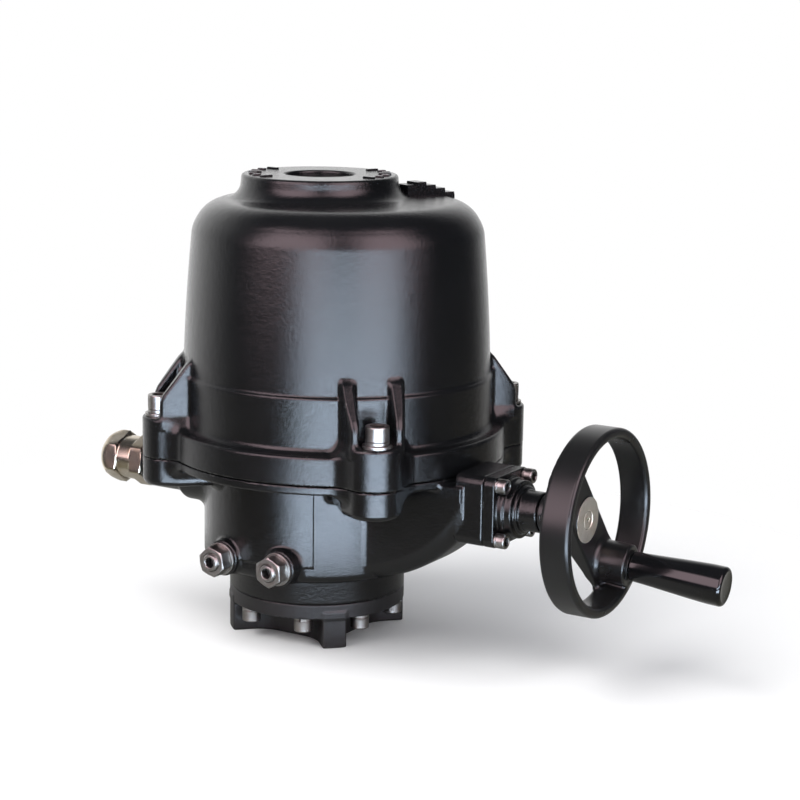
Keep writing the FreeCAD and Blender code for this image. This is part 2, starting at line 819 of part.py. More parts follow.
def entry_bosses():
    """A boss for each cable entry, with a wider foot at the bowl that ends under the split."""
    bosses, feet = [], []
    for side in (-1, 1):
        at = ("-dim.entry_y", f"{side} * dim.entry_y", "dim.entry_z")
        bosses.append(cylinder("EntryBoss", "dim.entry_radius", "dim.entry_face - dim.entry_y", at, "-X"))
        feet.append(cylinder("EntryFoot", "dim.entry_collar_radius",
                             "dim.entry_face - dim.entry_y - dim.entry_collar_back", at, "-X"))
    below = cylinder("BelowSplit", "2 * dim.entry_face", "dim.split")
    return [*bosses, *[common("EntryFootBelow", foot, below) for foot in feet]]


def stop_at(side):
    """Outer end of a stop boss, the seat of its seal washer."""
    return f"{side} * dim.stop_x", "-dim.stop_boss_end", "dim.stop_z"


def body_casting():
    depth = "dim.stop_boss_end - dim.cavity_radius + dim.bowl_wall"
    stop_bosses = [cylinder("StopBoss", "dim.stop_boss_radius", depth,
                            along(stop_at(side), "-Y", f"-({depth})"), "-Y")
                   for side in (-1, 1)]
    blank = fuse("HousingBlank", housing_bowl(), housing_flange(), front_panel(), shaft_duct(), shaft_pad(),
                 *stop_bosses, *entry_bosses())
    bore_start = "dim.cavity_radius / 2"
    tools = [
        cylinder("HousingCavity", "dim.cavity_radius", "dim.split", (0, 0, "dim.bowl_floor")),
        cylinder("BearingBore", "dim.bearing_bore", f"dim.pad_end - {bore_start}",
                 (bore_start, *SHAFT_AT), "X"),
        ring("SealGroove", "dim.seal_radius + dim.seal_width / 2", "dim.seal_radius - dim.seal_width / 2",
             "dim.seal_depth", (COVER_X, 0, "dim.split - dim.seal_depth")),
    ]
    for side in (-1, 1):
        at = stop_at(side)
        tools.append(cylinder("StopBore", "dim.stop_screw_radius + dim.running_gap", "dim.stop_boss_end / 2",
                              along(at, "-Y", "-dim.stop_boss_end / 2"), "-Y"))
        tools.append(cylinder("EntryBore", "dim.entry_bore + dim.thread_gap", "dim.entry_face",
                              ("-dim.entry_y", f"{side} * dim.entry_y", "dim.entry_z"), "-X"))
    for x, y in base_screw_places():
        tools.append(cylinder("NeckHole", "dim.base_screw / 2 + dim.thread_gap", "dim.base_screw_length",
                              (x, y, "dim.ring_bottom")))
    for angle in QUARTERS:
        depth = "dim.cover_bolt_engagement + dim.overlap"
        tools.append(cylinder("LugHole", "dim.cover_bolt / 2 + dim.thread_gap", f"2 * ({depth})",
                              (*lug_place(angle), f"dim.split - ({depth})")))
    for x, y in plate_screw_places():
        tools.append(cylinder("PlateHole", "dim.plate_screw / 2 + dim.thread_gap", "dim.plate_screw_length",
                              (x, y, "dim.plate_top - dim.plate_screw_length - 2 * dim.seat_gap")))
    depth = "dim.cap_screw_length - dim.cap_flange + 2 * dim.overlap"
    for y, z in cap_screw_places():
        tools.append(cylinder("PadHole", "dim.cap_screw / 2 + dim.thread_gap", depth,
                              (f"dim.pad_end - ({depth})", y, z), "X"))
    bush = "dim.transfer_radius + dim.transfer_bush_wall + dim.fit_gap"
    tools.append(cylinder("TransferSeat", bush, "dim.split", (*TRANSFER_AT, "dim.transfer_bottom")))
    floor_boss = ring("FloorBoss", "dim.floor_boss_radius", bush, "dim.lever_height - dim.lever_gap",
                      (*TRANSFER_AT, "dim.bowl_floor"))
    return subpart("body_casting", fuse("BodyCasting", cut("HousingCut", blank, *tools), floor_boss))


def cap_screw_places():
    for sy, sz in ((-1, -1), (1, -1), (1, 1), (-1, 1)):
        yield f"dim.shaft_y + {sy} * dim.cap_screw_offset", f"dim.shaft_z + {sz} * dim.cap_screw_offset"


def plate_screw_places():
    for angle in (60, 120, 240, 300):
        yield f"{COVER_X} + dim.plate_screw_circle * cos({angle})", f"dim.plate_screw_circle * sin({angle})"


# Cover

BOSS_AT = ("-dim.cover_offset * cos(dim.lug_turn)", "dim.cover_offset * sin(dim.lug_turn)")


def retainer_screw_places():
    for angle in QUARTERS:
        yield f"dim.retainer_screw_circle * cos({angle})", f"dim.retainer_screw_circle * sin({angle})"


def cover():
    body = new_body("CoverBody")
    disc = lugged_flange(body, "dim.split", "dim.cover_flange_top", "dim.split")
    seat = lug_sketch(body, "LugSeat", "dim.cover_flange_top")
    around(body, [pad(body, seat, "dim.lug_seat - dim.cover_flange_top")], disc)
    top_radius = "dim.shoulder_radius - dim.shoulder_rounding"
    foot = "dim.split + dim.cover_flange / 2"
    dome = outline(sketch(body, "DomeSection", "XZ_Plane"), [
        (0, foot),
        ("dim.skirt_radius", foot),
        ("dim.skirt_radius", "dim.skirt_top"),
        ("dim.bead_radius", "dim.bead_top"),
        ("dim.shoulder_radius", "dim.shoulder_start"),
        (top_radius, "dim.crown_edge"),
        (0, "dim.crown_top"),
    ], arcs={3: "dim.wall_crown", 4: "dim.shoulder_rounding", 5: "dim.top_crown"})
    revolve(body, dome)
    fins = []
    inner = "dim.bead_radius - dim.cover_wall + dim.overlap"
    for start in ("dim.lug_half_width - dim.fin_thickness", "-dim.lug_half_width"):
        fin = outline(sketch(body, "Fin", "XZ_Plane", (0, 0, start)), [
            (inner, "dim.cover_flange_top"),
            ("dim.fin_end", "dim.cover_flange_top"),
            ("dim.fin_end", "dim.fin_shoulder"),
            ("dim.bead_radius", "dim.fin_top"),
            (inner, "dim.fin_top"),
        ])
        fins.append(pad(body, fin, "dim.fin_thickness"))
    around(body, fins, disc)
    boss_foot = "dim.shoulder_start + dim.cover_wall + dim.overlap"
    boss = circle(sketch(body, "IndicatorBoss", "XY_Plane", (0, 0, boss_foot)), "dim.boss_radius", *BOSS_AT)
    pad(body, boss, f"dim.boss_top - ({boss_foot})")
    boss_radius, boss_top = value("dim.boss_radius"), value("dim.boss_top")
    fillet(body, "dim.boss_edge", lambda edge: is_level_circle(edge, boss_radius, boss_top))
    inside = "dim.split - dim.overlap"
    hollow = outline(sketch(body, "DomeHollow", "XZ_Plane"), [
        (0, inside),
        ("dim.cover_bore", inside),
        ("dim.cover_bore", "dim.skirt_top - dim.cover_wall"),
        ("dim.bead_radius - dim.cover_wall", "dim.bead_top"),
        ("dim.shoulder_radius - dim.cover_wall", "dim.shoulder_start"),
        (top_radius, "dim.crown_edge - dim.cover_wall"),
        (0, "dim.crown_top - dim.cover_wall"),
    ], arcs={4: "dim.shoulder_rounding - dim.cover_wall"})
    revolve(body, hollow, "PartDesign::Groove")
    in_lug_frame(body)
    tall = "dim.boss_top"
    tools = [
        cylinder("WindowOpening", "dim.window_radius", tall, (0, 0, "dim.boss_pocket_top - dim.overlap")),
        cylinder("LensSeat", "dim.lens_radius + dim.fit_gap", f"dim.lens_seat - ({boss_foot})",
                 (0, 0, boss_foot)),
        cylinder("BossPocket", "dim.boss_radius - dim.boss_wall", f"dim.boss_pocket_top - ({boss_foot})",
                 (0, 0, boss_foot)),
    ]
    for angle in QUARTERS:
        tools.append(cylinder("CoverBoltHole", "dim.cover_bolt / 2 + dim.seat_gap", "2 * dim.lug_height",
                              (*lug_place(angle), "dim.split - dim.overlap")))
    for x, y in retainer_screw_places():
        tools.append(cylinder("RetainerHole", "dim.retainer_screw / 2 + dim.thread_gap",
                              "dim.retainer_screw_length", (x, y, "dim.boss_pocket_top")))
    return subpart("cover", cut("Cover", body, *tools))


def cover_fasteners():
    bolts, flats, locks = [], [], []
    size = "dim.cover_bolt"
    flat, lock = flat_height(size), lock_height(size)
    for angle in QUARTERS:
        x, y = lug_place(angle)
        flats.append(ring("FlatWasher", f"({size})", f"({size}) / 2 + dim.seat_gap", flat,
                          (x, y, "dim.lug_seat")))
        locks.append(lock_washer("LockWasher", size, (x, y, f"dim.lug_seat + {flat}"), "Z"))
        bolts.append(socket_screw("CoverBolt", size,
                                  f"dim.lug_height + {flat} + {lock} + dim.cover_bolt_engagement",
                                  (x, y, f"dim.lug_seat + {flat} + {lock}"), "Z"))
    subpart("cover_flat_washers", group("FlatWashers", flats))
    subpart("cover_lock_washers", group("LockWashers", locks))
    subpart("cover_bolts", group("CoverBolts", bolts))
    half = "dim.seal_width / 2"
    subpart("cover_seal", ring("CoverSeal", f"dim.seal_radius + {half}", f"dim.seal_radius - {half}",
                               "dim.seal_depth", (COVER_X, 0, "dim.split - dim.seal_depth")))


def window():
    subpart("window_seal", ring("WindowSeal", "dim.lens_radius", "dim.lens_radius - dim.window_seal_width",
                                "dim.window_seal_thickness", (0, 0, "dim.lens_top")))
    subpart("window_lens",
            cylinder("WindowLens", "dim.lens_radius", "dim.lens_thickness", (0, 0, "dim.lens_bottom")))
    lip = ring("RetainerLip", "dim.lens_radius - dim.fit_gap", "dim.window_radius",
               "dim.lens_bottom - dim.boss_pocket_top", (0, 0, "dim.boss_pocket_top"))
    plate = ring("RetainerPlate", "dim.retainer_radius", "dim.window_radius", "dim.retainer_thickness",
                 (0, 0, "dim.retainer_bottom"))
    holes, screws = [], []
    for x, y in retainer_screw_places():
        holes.append(cylinder("RetainerClearance", "dim.retainer_screw / 2 + dim.fit_gap",
                              "2 * dim.retainer_thickness", (x, y, "dim.retainer_bottom - dim.overlap")))
        screws.append(socket_screw("RetainerScrew", "dim.retainer_screw", "dim.retainer_screw_length",
                                   (x, y, "dim.retainer_bottom"), "-Z"))
    subpart("window_retainer", cut("WindowRetainer", fuse("RetainerBlank", lip, plate), *holes))
    subpart("retainer_screws", group("RetainerScrews", screws))


# Handwheel shaft, bearings and cap

def shaft_parts():
    shoulder_start = "(dim.bearing_inner_x + dim.bearing_width)"
    rod = cylinder("ShaftRod", "dim.shaft_radius", "dim.hub_front - dim.shaft_start",
                   ("dim.shaft_start", *SHAFT_AT), "X")
    shoulder = cylinder("ShaftShoulder", "dim.shaft_shoulder", f"dim.bearing_outer_x - {shoulder_start}",
                        (shoulder_start, *SHAFT_AT), "X")
    subpart("handwheel_shaft", fuse("ShaftBlank", rod, shoulder))
    subpart("worm", ring("Worm", "dim.worm_radius", "dim.shaft_radius + dim.running_gap", "dim.worm_length",
                         ("dim.transfer_x - dim.worm_length / 2", *SHAFT_AT), "X"))
    bearings = [ring("Bearing", "dim.bearing_bore - dim.running_gap", "dim.shaft_radius + dim.running_gap",
                     "dim.bearing_width", (start, *SHAFT_AT), "X")
                for start in ("dim.bearing_inner_x", "dim.bearing_outer_x")]
    subpart("shaft_bearings", group("ShaftBearings", bearings))


def shaft_cap():
    body = new_body("CapBody")
    face = outline(sketch(body, "CapFace", "YZ_Plane", (0, 0, "dim.pad_end")),
                   square_corners("dim.pad_half"))
    pad(body, face, "dim.cap_flange")
    thickness = value("dim.cap_flange")
    fillet(body, "dim.pad_rounding", lambda edge: abs(edge.BoundBox.XLength - thickness) < 0.01)
    seat = "dim.pad_end + dim.cap_flange"
    steps = [cylinder("CapSpigot", "dim.bearing_bore - dim.running_gap", "dim.cap_spigot + dim.overlap",
                      ("dim.pad_end - dim.cap_spigot", *SHAFT_AT), "X")]
    start = seat
    for name in ("cap_step", "cap_boss", "cap_shoulder", "cap_neck"):
        steps.append(cylinder("CapStep", f"dim.{name}_radius", f"dim.{name} + dim.overlap",
                              (f"{start} - dim.overlap", *SHAFT_AT), "X"))
        start = f"{start} + dim.{name}"
    seal_start = "dim.cap_front - dim.cap_seal_width - 2 * dim.overlap"
    tools = [
        cylinder("CapBore", "dim.shaft_radius + dim.seat_gap",
                 "dim.cap_front - dim.pad_end + 2 * dim.bearing_width",
                 ("dim.pad_end - dim.bearing_width", *SHAFT_AT), "X"),
        cylinder("CapSealSeat", "dim.cap_seal_radius", "dim.cap_seal_width", (seal_start, *SHAFT_AT), "X"),
    ]
    for y, z in cap_screw_places():
        tools.append(cylinder("CapHole", "dim.cap_screw / 2 + dim.seat_gap", "2 * dim.cap_flange",
                              ("dim.pad_end - dim.overlap", y, z), "X"))
    subpart("shaft_cap", cut("ShaftCap", fuse("CapBlank", body, *steps), *tools))
    subpart("shaft_seal", ring("ShaftSeal", "dim.cap_seal_radius", "dim.shaft_radius + dim.running_gap",
                               "dim.cap_seal_width", (seal_start, *SHAFT_AT), "X"))
    screws, washers = [], []
    size = "dim.cap_screw"
    for y, z in cap_screw_places():
        washers.append(lock_washer("CapWasher", size, (seat, y, z), "X"))
        screws.append(socket_screw("CapScrew", size, "dim.cap_screw_length",
                                   (f"{seat} + {lock_height(size)}", y, z), "X"))
    subpart("cap_lock_washers", group("CapWashers", washers))
    subpart("cap_screws", group("CapScrews", screws))


# Handwheel

def wheel_rim():
    body = new_body("WheelBody")
    back, inner = "dim.wheel_front - dim.wheel_width", "dim.wheel_radius - dim.wheel_rim"
    rim = outline(sketch(body, "RimSection", "XZ_Plane"), [
        (back, inner),
        ("dim.wheel_front", inner),
        ("dim.wheel_front", "dim.wheel_radius"),
        (back, "dim.wheel_radius"),
    ])
    revolve(body, rim, axis="H_Axis")
    fillet(body, "dim.wheel_rim_rounding", lambda edge: kind(edge) == "Part::GeomCircle")
    return body


def wheel_hub():
    body = new_body("HubBody")
    section = outline(sketch(body, "HubSection", "XZ_Plane"), [
        ("dim.hub_start", 0),
        ("dim.hub_start", "dim.hub_radius"),
        ("dim.web_root_back - dim.wheel_rim", "dim.hub_radius"),
        ("dim.web_root_back", "dim.hub_face_radius"),
        ("dim.hub_front", "dim.hub_face_radius"),
        ("dim.hub_front", 0),
    ])
    revolve(body, section, axis="H_Axis")
    return body


def wheel_web():
    """One bar across the wheel, cut from a dish that grows thinner towards the rim."""
    dish = new_body("WebDish")
    reach = "dim.wheel_radius - dim.wheel_rim + dim.overlap"
    section = outline(sketch(dish, "DishSection", "XZ_Plane"), [
        ("dim.web_root_back", 0),
        ("dim.web_root_back", "dim.hub_face_radius"),
        ("dim.web_rim_back", reach),
        ("dim.web_front", reach),
        ("dim.web_front", 0),
    ])
    revolve(dish, section, axis="H_Axis")
    bar = box("WebBar", ("dim.hub_length", "2 * dim.wheel_radius", "2 * dim.web_half_width"),
              ("dim.hub_start", "-dim.wheel_radius", "-dim.web_half_width"))
    return common("Web", dish, bar)


def handwheel():
    turned = fuse("WheelInPlace", wheel_rim(), wheel_hub(), wheel_web())
    around_x = FreeCAD.Rotation(FreeCAD.Vector(1, 0, 0), value("dim.wheel_turn"))
    turned.Placement = FreeCAD.Placement(FreeCAD.Vector(), around_x)
    turned.setExpression(".Placement.Base.y", "dim.shaft_y")
    turned.setExpression(".Placement.Base.z", "dim.shaft_z")
    length = "dim.handle_boss_end - dim.web_rim_back"
    handle_boss = along_handle(cylinder("HandleBoss", "dim.handle_boss_radius", length), f"-({length})")
    spindle_hole = along_handle(cylinder("SpindleHole", "dim.spindle_radius + dim.thread_gap",
                                         "2 * dim.spindle_fit"),
                                "-dim.spindle_fit - dim.overlap")
    bore = cylinder("HubBore", "dim.shaft_radius + dim.running_gap", "2 * dim.hub_length",
                    ("dim.hub_start - dim.overlap", *SHAFT_AT), "X")
    at = ("dim.hub_start + dim.grub_place", "dim.shaft_y - dim.shaft_radius", "dim.shaft_z")
    screw_hole = cylinder("GrubHole", "dim.grub_screw / 2 + dim.thread_gap", "dim.hub_radius", at, "-Y")
    subpart("handwheel",
            cut("Handwheel", fuse("WheelBlank", turned, handle_boss), bore, spindle_hole, screw_hole))
    subpart("hub_set_screw", cylinder("GrubScrew", "dim.grub_screw / 2",
                                      "dim.hub_radius - dim.shaft_radius - dim.seat_gap", at, "-Y"))


def along_handle(solid, start):
    """Lays a solid made along Z on the handle's own axis, start counted from the front of its boss."""
    around_x = FreeCAD.Rotation(FreeCAD.Vector(1, 0, 0), value("dim.wheel_turn"))
    out = FreeCAD.Rotation(FreeCAD.Vector(0, 1, 0), 90)
    splay = FreeCAD.Rotation(FreeCAD.Vector(0, 0, 1), value("dim.handle_splay"))
    solid.Placement = FreeCAD.Placement(FreeCAD.Vector(), around_x.multiply(splay).multiply(out))
    radius = f"(dim.handle_circle + ({start}) * sin(dim.handle_splay))"
    solid.setExpression(".Placement.Base.x", f"dim.handle_boss_end + ({start}) * cos(dim.handle_splay)")
    solid.setExpression(".Placement.Base.y", f"dim.shaft_y + {radius} * cos(dim.wheel_turn)")
    solid.setExpression(".Placement.Base.z", f"dim.shaft_z + {radius} * sin(dim.wheel_turn)")
    return solid


def handle():
    washer_ring = ring("HandleWasher", "dim.handle_washer_radius", "dim.spindle_radius + dim.fit_gap",
                       "dim.handle_washer")
    subpart("handle_washer", along_handle(washer_ring, "0"))
    # the grip is open from its root to a chamber that holds the spindle's head, and closed by its end
    head_start = "dim.grip_length - dim.grip_cap"
    rod_length = f"dim.spindle_fit + {head_start}"
    pin = fuse("SpindleBlank", cylinder("SpindleRod", "dim.spindle_radius", rod_length),
               cylinder("SpindleHead", "dim.spindle_head_radius", "dim.spindle_head", (0, 0, rod_length)))
    subpart("handle_spindle", along_handle(pin, "-dim.spindle_fit"))
    body = new_body("GripBody")
    bore, chamber = "dim.spindle_radius + 2 * dim.running_gap", "dim.spindle_head_radius + dim.seat_gap"
    chamber_start = f"{head_start} - dim.handle_washer - 2 * dim.seat_gap"
    chamber_end = f"{head_start} + dim.spindle_head + dim.seat_gap"
    half = outline(sketch(body, "GripSection", "XZ_Plane"), [
        (bore, 0),
        ("dim.grip_root_radius", 0),
        ("dim.grip_end_radius", "dim.grip_taper"),
        ("dim.grip_end_radius", "dim.grip_length"),
        (0, "dim.grip_length"),
        (0, chamber_end),
        (chamber, chamber_end),
        (chamber, chamber_start),
        (bore, chamber_start),
    ])
    revolve(body, half)
    end_radius, length = value("dim.grip_end_radius"), value("dim.grip_length")
    fillet(body, "dim.grip_rounding", lambda edge: is_level_circle(edge, end_radius, length))
    subpart("handle_grip", along_handle(body, "dim.handle_washer + dim.seat_gap"))


# Adjustable stops

def stops():
    nuts, washers = [], []
    for node, side in (("stop_screw_left", -1), ("stop_screw_right", 1)):
        at = stop_at(side)
        washers.append(ring("StopWasher", "dim.stop_washer_radius", "dim.stop_screw_radius + dim.fit_gap",
                            "dim.stop_washer", at, "-Y"))
        nut_at = along(at, "-Y", "dim.stop_washer")
        nuts.append(cut("StopNut", prism("NutBlank", 6, "dim.stop_nut_flats", "dim.stop_nut", nut_at, "-Y"),
                        cylinder("NutBore", "dim.stop_screw_radius + dim.running_gap", "dim.stop_nut",
                                 nut_at, "-Y")))
        tip = "dim.stop_face + dim.seat_gap + dim.fit_gap"
        rod = cylinder("StopRod", "dim.stop_screw_radius", f"dim.stop_screw_end - ({tip})",
                       (at[0], f"-({tip})", "dim.stop_z"), "-Y")
        socket = prism("StopSocket", 6, "dim.stop_screw_radius", "2 * dim.stop_screw_radius",
                       (at[0], "dim.stop_screw_radius - dim.stop_screw_end", "dim.stop_z"), "-Y")
        subpart(node, cut("StopScrew", rod, socket))
    subpart("stop_seal_washers", group("StopWashers", washers))
    subpart("stop_nuts", group("StopNuts", nuts))


# Cable entries

def gland_cap():
    """The domed cap nut: a round collar at its back, then a hexagon that runs into a dome."""
    dome = new_body("GlandDome")
    corner = "dim.gland_nut_flats / 2 / cos(30)"
    section = outline(sketch(dome, "GlandDomeSection", "XZ_Plane"), [
        (0, 0),
        ("dim.gland_nut_flats / 2", 0),
        (corner, "dim.gland_nut_bevel"),
        (corner, "dim.gland_nut_hex"),
        ("dim.gland_end_radius", "dim.gland_nut"),
        (0, "dim.gland_nut"),
    ], arcs={3: "dim.gland_dome"})
    revolve(dome, section)
    at = ("-dim.gland_nut_start - dim.gland_collar", "-dim.entry_y", "dim.entry_z")
    place(dome, at, "-X")
    hexagon = common("GlandNutHex", dome,
                     prism("GlandNutBar", 6, "dim.gland_nut_flats", "dim.gland_nut", at, "-X"))
    collar = cylinder("GlandCollar", "dim.gland_collar_radius", "dim.gland_collar + dim.overlap",
                      along(at, "-X", "-dim.gland_collar"), "-X")
    return fuse("GlandNutBlank", hexagon, collar)


def cable_gland():
    at = ["-dim.entry_face", "-dim.entry_y", "dim.entry_z"]
    screwed = "dim.entry_bore"
    thread = cylinder("GlandThread", "dim.entry_bore", screwed, along(at, "-X", f"-{screwed}"), "-X")
    hexagon = prism("GlandHex", 6, "dim.gland_hex_flats", "dim.gland_hex", at, "-X")
    neck = cylinder("GlandNeck", "dim.gland_neck_radius", "dim.gland_pocket + dim.overlap",
                    along(at, "-X", "dim.gland_hex - dim.overlap"), "-X")
    bore = cylinder("GlandBore", "dim.gland_bore", "2 * dim.entry_face",
                    along(at, "-X", "-dim.entry_bore - dim.overlap"), "-X")
    subpart("gland_body", cut("GlandBody", fuse("GlandBodyBlank", thread, hexagon, neck), bore))
    nut_at = ("-dim.gland_nut_start", *at[1:])
    mouth = cylinder("GlandMouth", "dim.gland_seal_radius + dim.fit_gap", "dim.entry_face", nut_at, "-X")
    inner = cylinder("GlandNutBore", "dim.gland_neck_radius + dim.thread_gap", "dim.gland_pocket", nut_at,
                     "-X")
    subpart("gland_nut", cut("GlandNut", gland_cap(), mouth, inner))
    subpart("gland_seal", ring("GlandSeal", "dim.gland_seal_radius", "dim.cable_radius",
                               "dim.gland_collar + dim.gland_nut - dim.gland_pocket - dim.entry_mouth",
                               along(nut_at, "-X", "dim.gland_pocket"), "-X"))
    plug_at = ("-dim.entry_face", "dim.entry_y", "dim.entry_z")
    plug = fuse("PlugBlank", prism("PlugHex", 6, "dim.gland_hex_flats", "dim.plug_head", plug_at, "-X"),
                cylinder("PlugThread", "dim.entry_bore", screwed, along(plug_at, "-X", f"-{screwed}"),
                         "-X"))
    socket = prism("PlugSocket", 6, "dim.entry_bore", "2 * dim.plug_head",
                   along(plug_at, "-X", "-dim.plug_head / 2"), "-X")
    subpart("entry_plug", cut("EntryPlug", plug, socket))


# Drive train

def involute_tooth(module, teeth, shift, thin):
    """Right half of one tooth, from root to tip, as points of radius and half angle."""
    pitch, pressure = module * teeth / 2, math.radians(20)
    base = pitch * math.cos(pressure)
    root, tip = pitch + (shift - 1.25) * module, pitch + (1 + shift) * module
    half = (math.pi / 2 + 2 * shift * math.tan(pressure)) / teeth - thin / pitch / 2
    spread = half + math.tan(pressure) - pressure
    points = [(root, spread)]
    low = max(base, root)
    for step in range(4):
        radius = low + (tip - low) * step / 3
        roll = math.acos(min(base / radius, 1))
        points.append((radius, spread - (math.tan(roll) - roll)))
    return points


def gear_face(module, teeth, shift, thin, turn):
    """Face of a spur gear with its first tooth at the angle turn."""
    flank = involute_tooth(module, teeth, shift, thin)
    corners = []
    for tooth in range(teeth):
        middle = math.radians(turn) + 2 * math.pi * tooth / teeth
        angles = [(radius, middle - half) for radius, half in flank]
        angles += [(radius, middle + half) for radius, half in reversed(flank)]
        corners += [FreeCAD.Vector(radius * math.cos(angle), radius * math.sin(angle), 0)
                    for radius, angle in angles]
    return Part.Face(Part.makePolygon(corners + corners[:1]))


def spur_gear(name, module, teeth, shift, turn, bore, height, at):
    """A spur gear with a round bore; the tooth form follows from the sheet's module and tooth number."""
    gear = doc.addObject("Part::Feature", name)
    backlash = value(module) * 0.1 + value("dim.running_gap")
    face = gear_face(value(module), round(value(teeth)), shift, backlash, turn)
    solid = face.extrude(FreeCAD.Vector(0, 0, value(height)))
    gear.Shape = solid.cut(Part.makeCylinder(value(bore), value(height)))
    return place(gear, at)


def drive_train():
    """Two spur gear pairs with opposite profile shifts, the worm wheel and the shaft that they share."""
    shift = 0.35
    on_shaft = "dim.transfer_radius + dim.running_gap"
    angle = math.degrees(math.atan2(value("dim.transfer_y"), value("dim.transfer_x")))
    subpart("output_gear", spur_gear("OutputGear", "dim.spur_module", "dim.output_teeth", -shift, angle,
                                     "dim.sleeve_radius + dim.fit_gap / 2", "dim.gear_height",
                                     (0, 0, "dim.gear_bottom")))
    pinion_turn = angle + 180 + 180 / round(value("dim.pinion_teeth"))
    subpart("transfer_pinion",
            spur_gear("TransferPinion", "dim.spur_module", "dim.pinion_teeth", shift, pinion_turn, on_shaft,
                      "dim.gear_height + 2 * dim.overlap", (*TRANSFER_AT, "dim.gear_bottom - dim.overlap")))
    motor_turn = value("dim.motor_turn")
    subpart("transfer_gear",
            spur_gear("TransferGear", "dim.top_gear_module", "dim.top_gear_teeth", -shift, motor_turn,
                      on_shaft, "dim.top_gear_height", (*TRANSFER_AT, "dim.top_gear_bottom")))
    motor_pinion_turn = motor_turn + 180 + 180 / round(value("dim.motor_teeth"))
    pinion = spur_gear("MotorPinion", "dim.top_gear_module", "dim.motor_teeth", shift, motor_pinion_turn,
                       "dim.motor_shaft_radius / 2", "dim.top_gear_height + 2 * dim.seat_gap",
                       (*MOTOR_AT, "dim.top_gear_bottom - dim.seat_gap"))
    shaft = cylinder("MotorShaft", "dim.motor_shaft_radius",
                     "dim.plate_top + dim.motor_shaft_fit - dim.top_gear_bottom",
                     (*MOTOR_AT, "dim.top_gear_bottom"))
    subpart("motor_pinion", fuse("MotorPinionShaft", pinion, shaft))
    subpart("worm_wheel", ring("WormWheel", "dim.worm_wheel_radius", on_shaft, "dim.worm_wheel_height",
                               (*TRANSFER_AT, "dim.worm_wheel_bottom")))
    rod = cylinder("TransferRod", "dim.transfer_radius", "dim.transfer_top - dim.transfer_bottom",
                   (*TRANSFER_AT, "dim.transfer_bottom"))
    shoulder = "dim.gear_top + dim.overlap"
    collar = cylinder("TransferShoulder", "dim.transfer_shoulder", f"dim.worm_wheel_bottom - ({shoulder})",
                      (*TRANSFER_AT, shoulder))
    subpart("transfer_shaft", fuse("TransferShaft", rod, collar))
    wall = "dim.transfer_radius + dim.transfer_bush_wall"
    subpart("transfer_lower_bush", ring("TransferLowerBush", wall, on_shaft,
                                        "dim.lever_height + dim.transfer_sink - dim.lever_gap",
                                        (*TRANSFER_AT, "dim.transfer_bottom")))
    subpart("transfer_upper_bush",
            ring("TransferUpperBush", f"{wall} + dim.overlap", on_shaft, "dim.plate_thickness",
                 (*TRANSFER_AT, "dim.split")))


def stop_lever():
    """A hub on the sleeve with two arms a quarter turn apart, one for each stop screw."""
    height, arm, face = "dim.lever_height", "dim.stop_arm_width", "dim.stop_face"
    hub = cylinder("LeverHub", "dim.lever_hub", height, (0, 0, "dim.lever_bottom"))
    start = f"dim.stop_x - {arm} / 2"
    right = box("LeverArmRight", (arm, face, height), (start, f"-{face}", "dim.lever_bottom"))
    left = box("LeverArmLeft", (face, arm, height), (f"-{face}", start, "dim.lever_bottom"))
    bore = cylinder("LeverBore", "dim.sleeve_radius + dim.fit_gap / 2", height, (0, 0, "dim.lever_bottom"))
    subpart("stop_lever", cut("StopLever", fuse("LeverBlank", hub, right, left), bore))


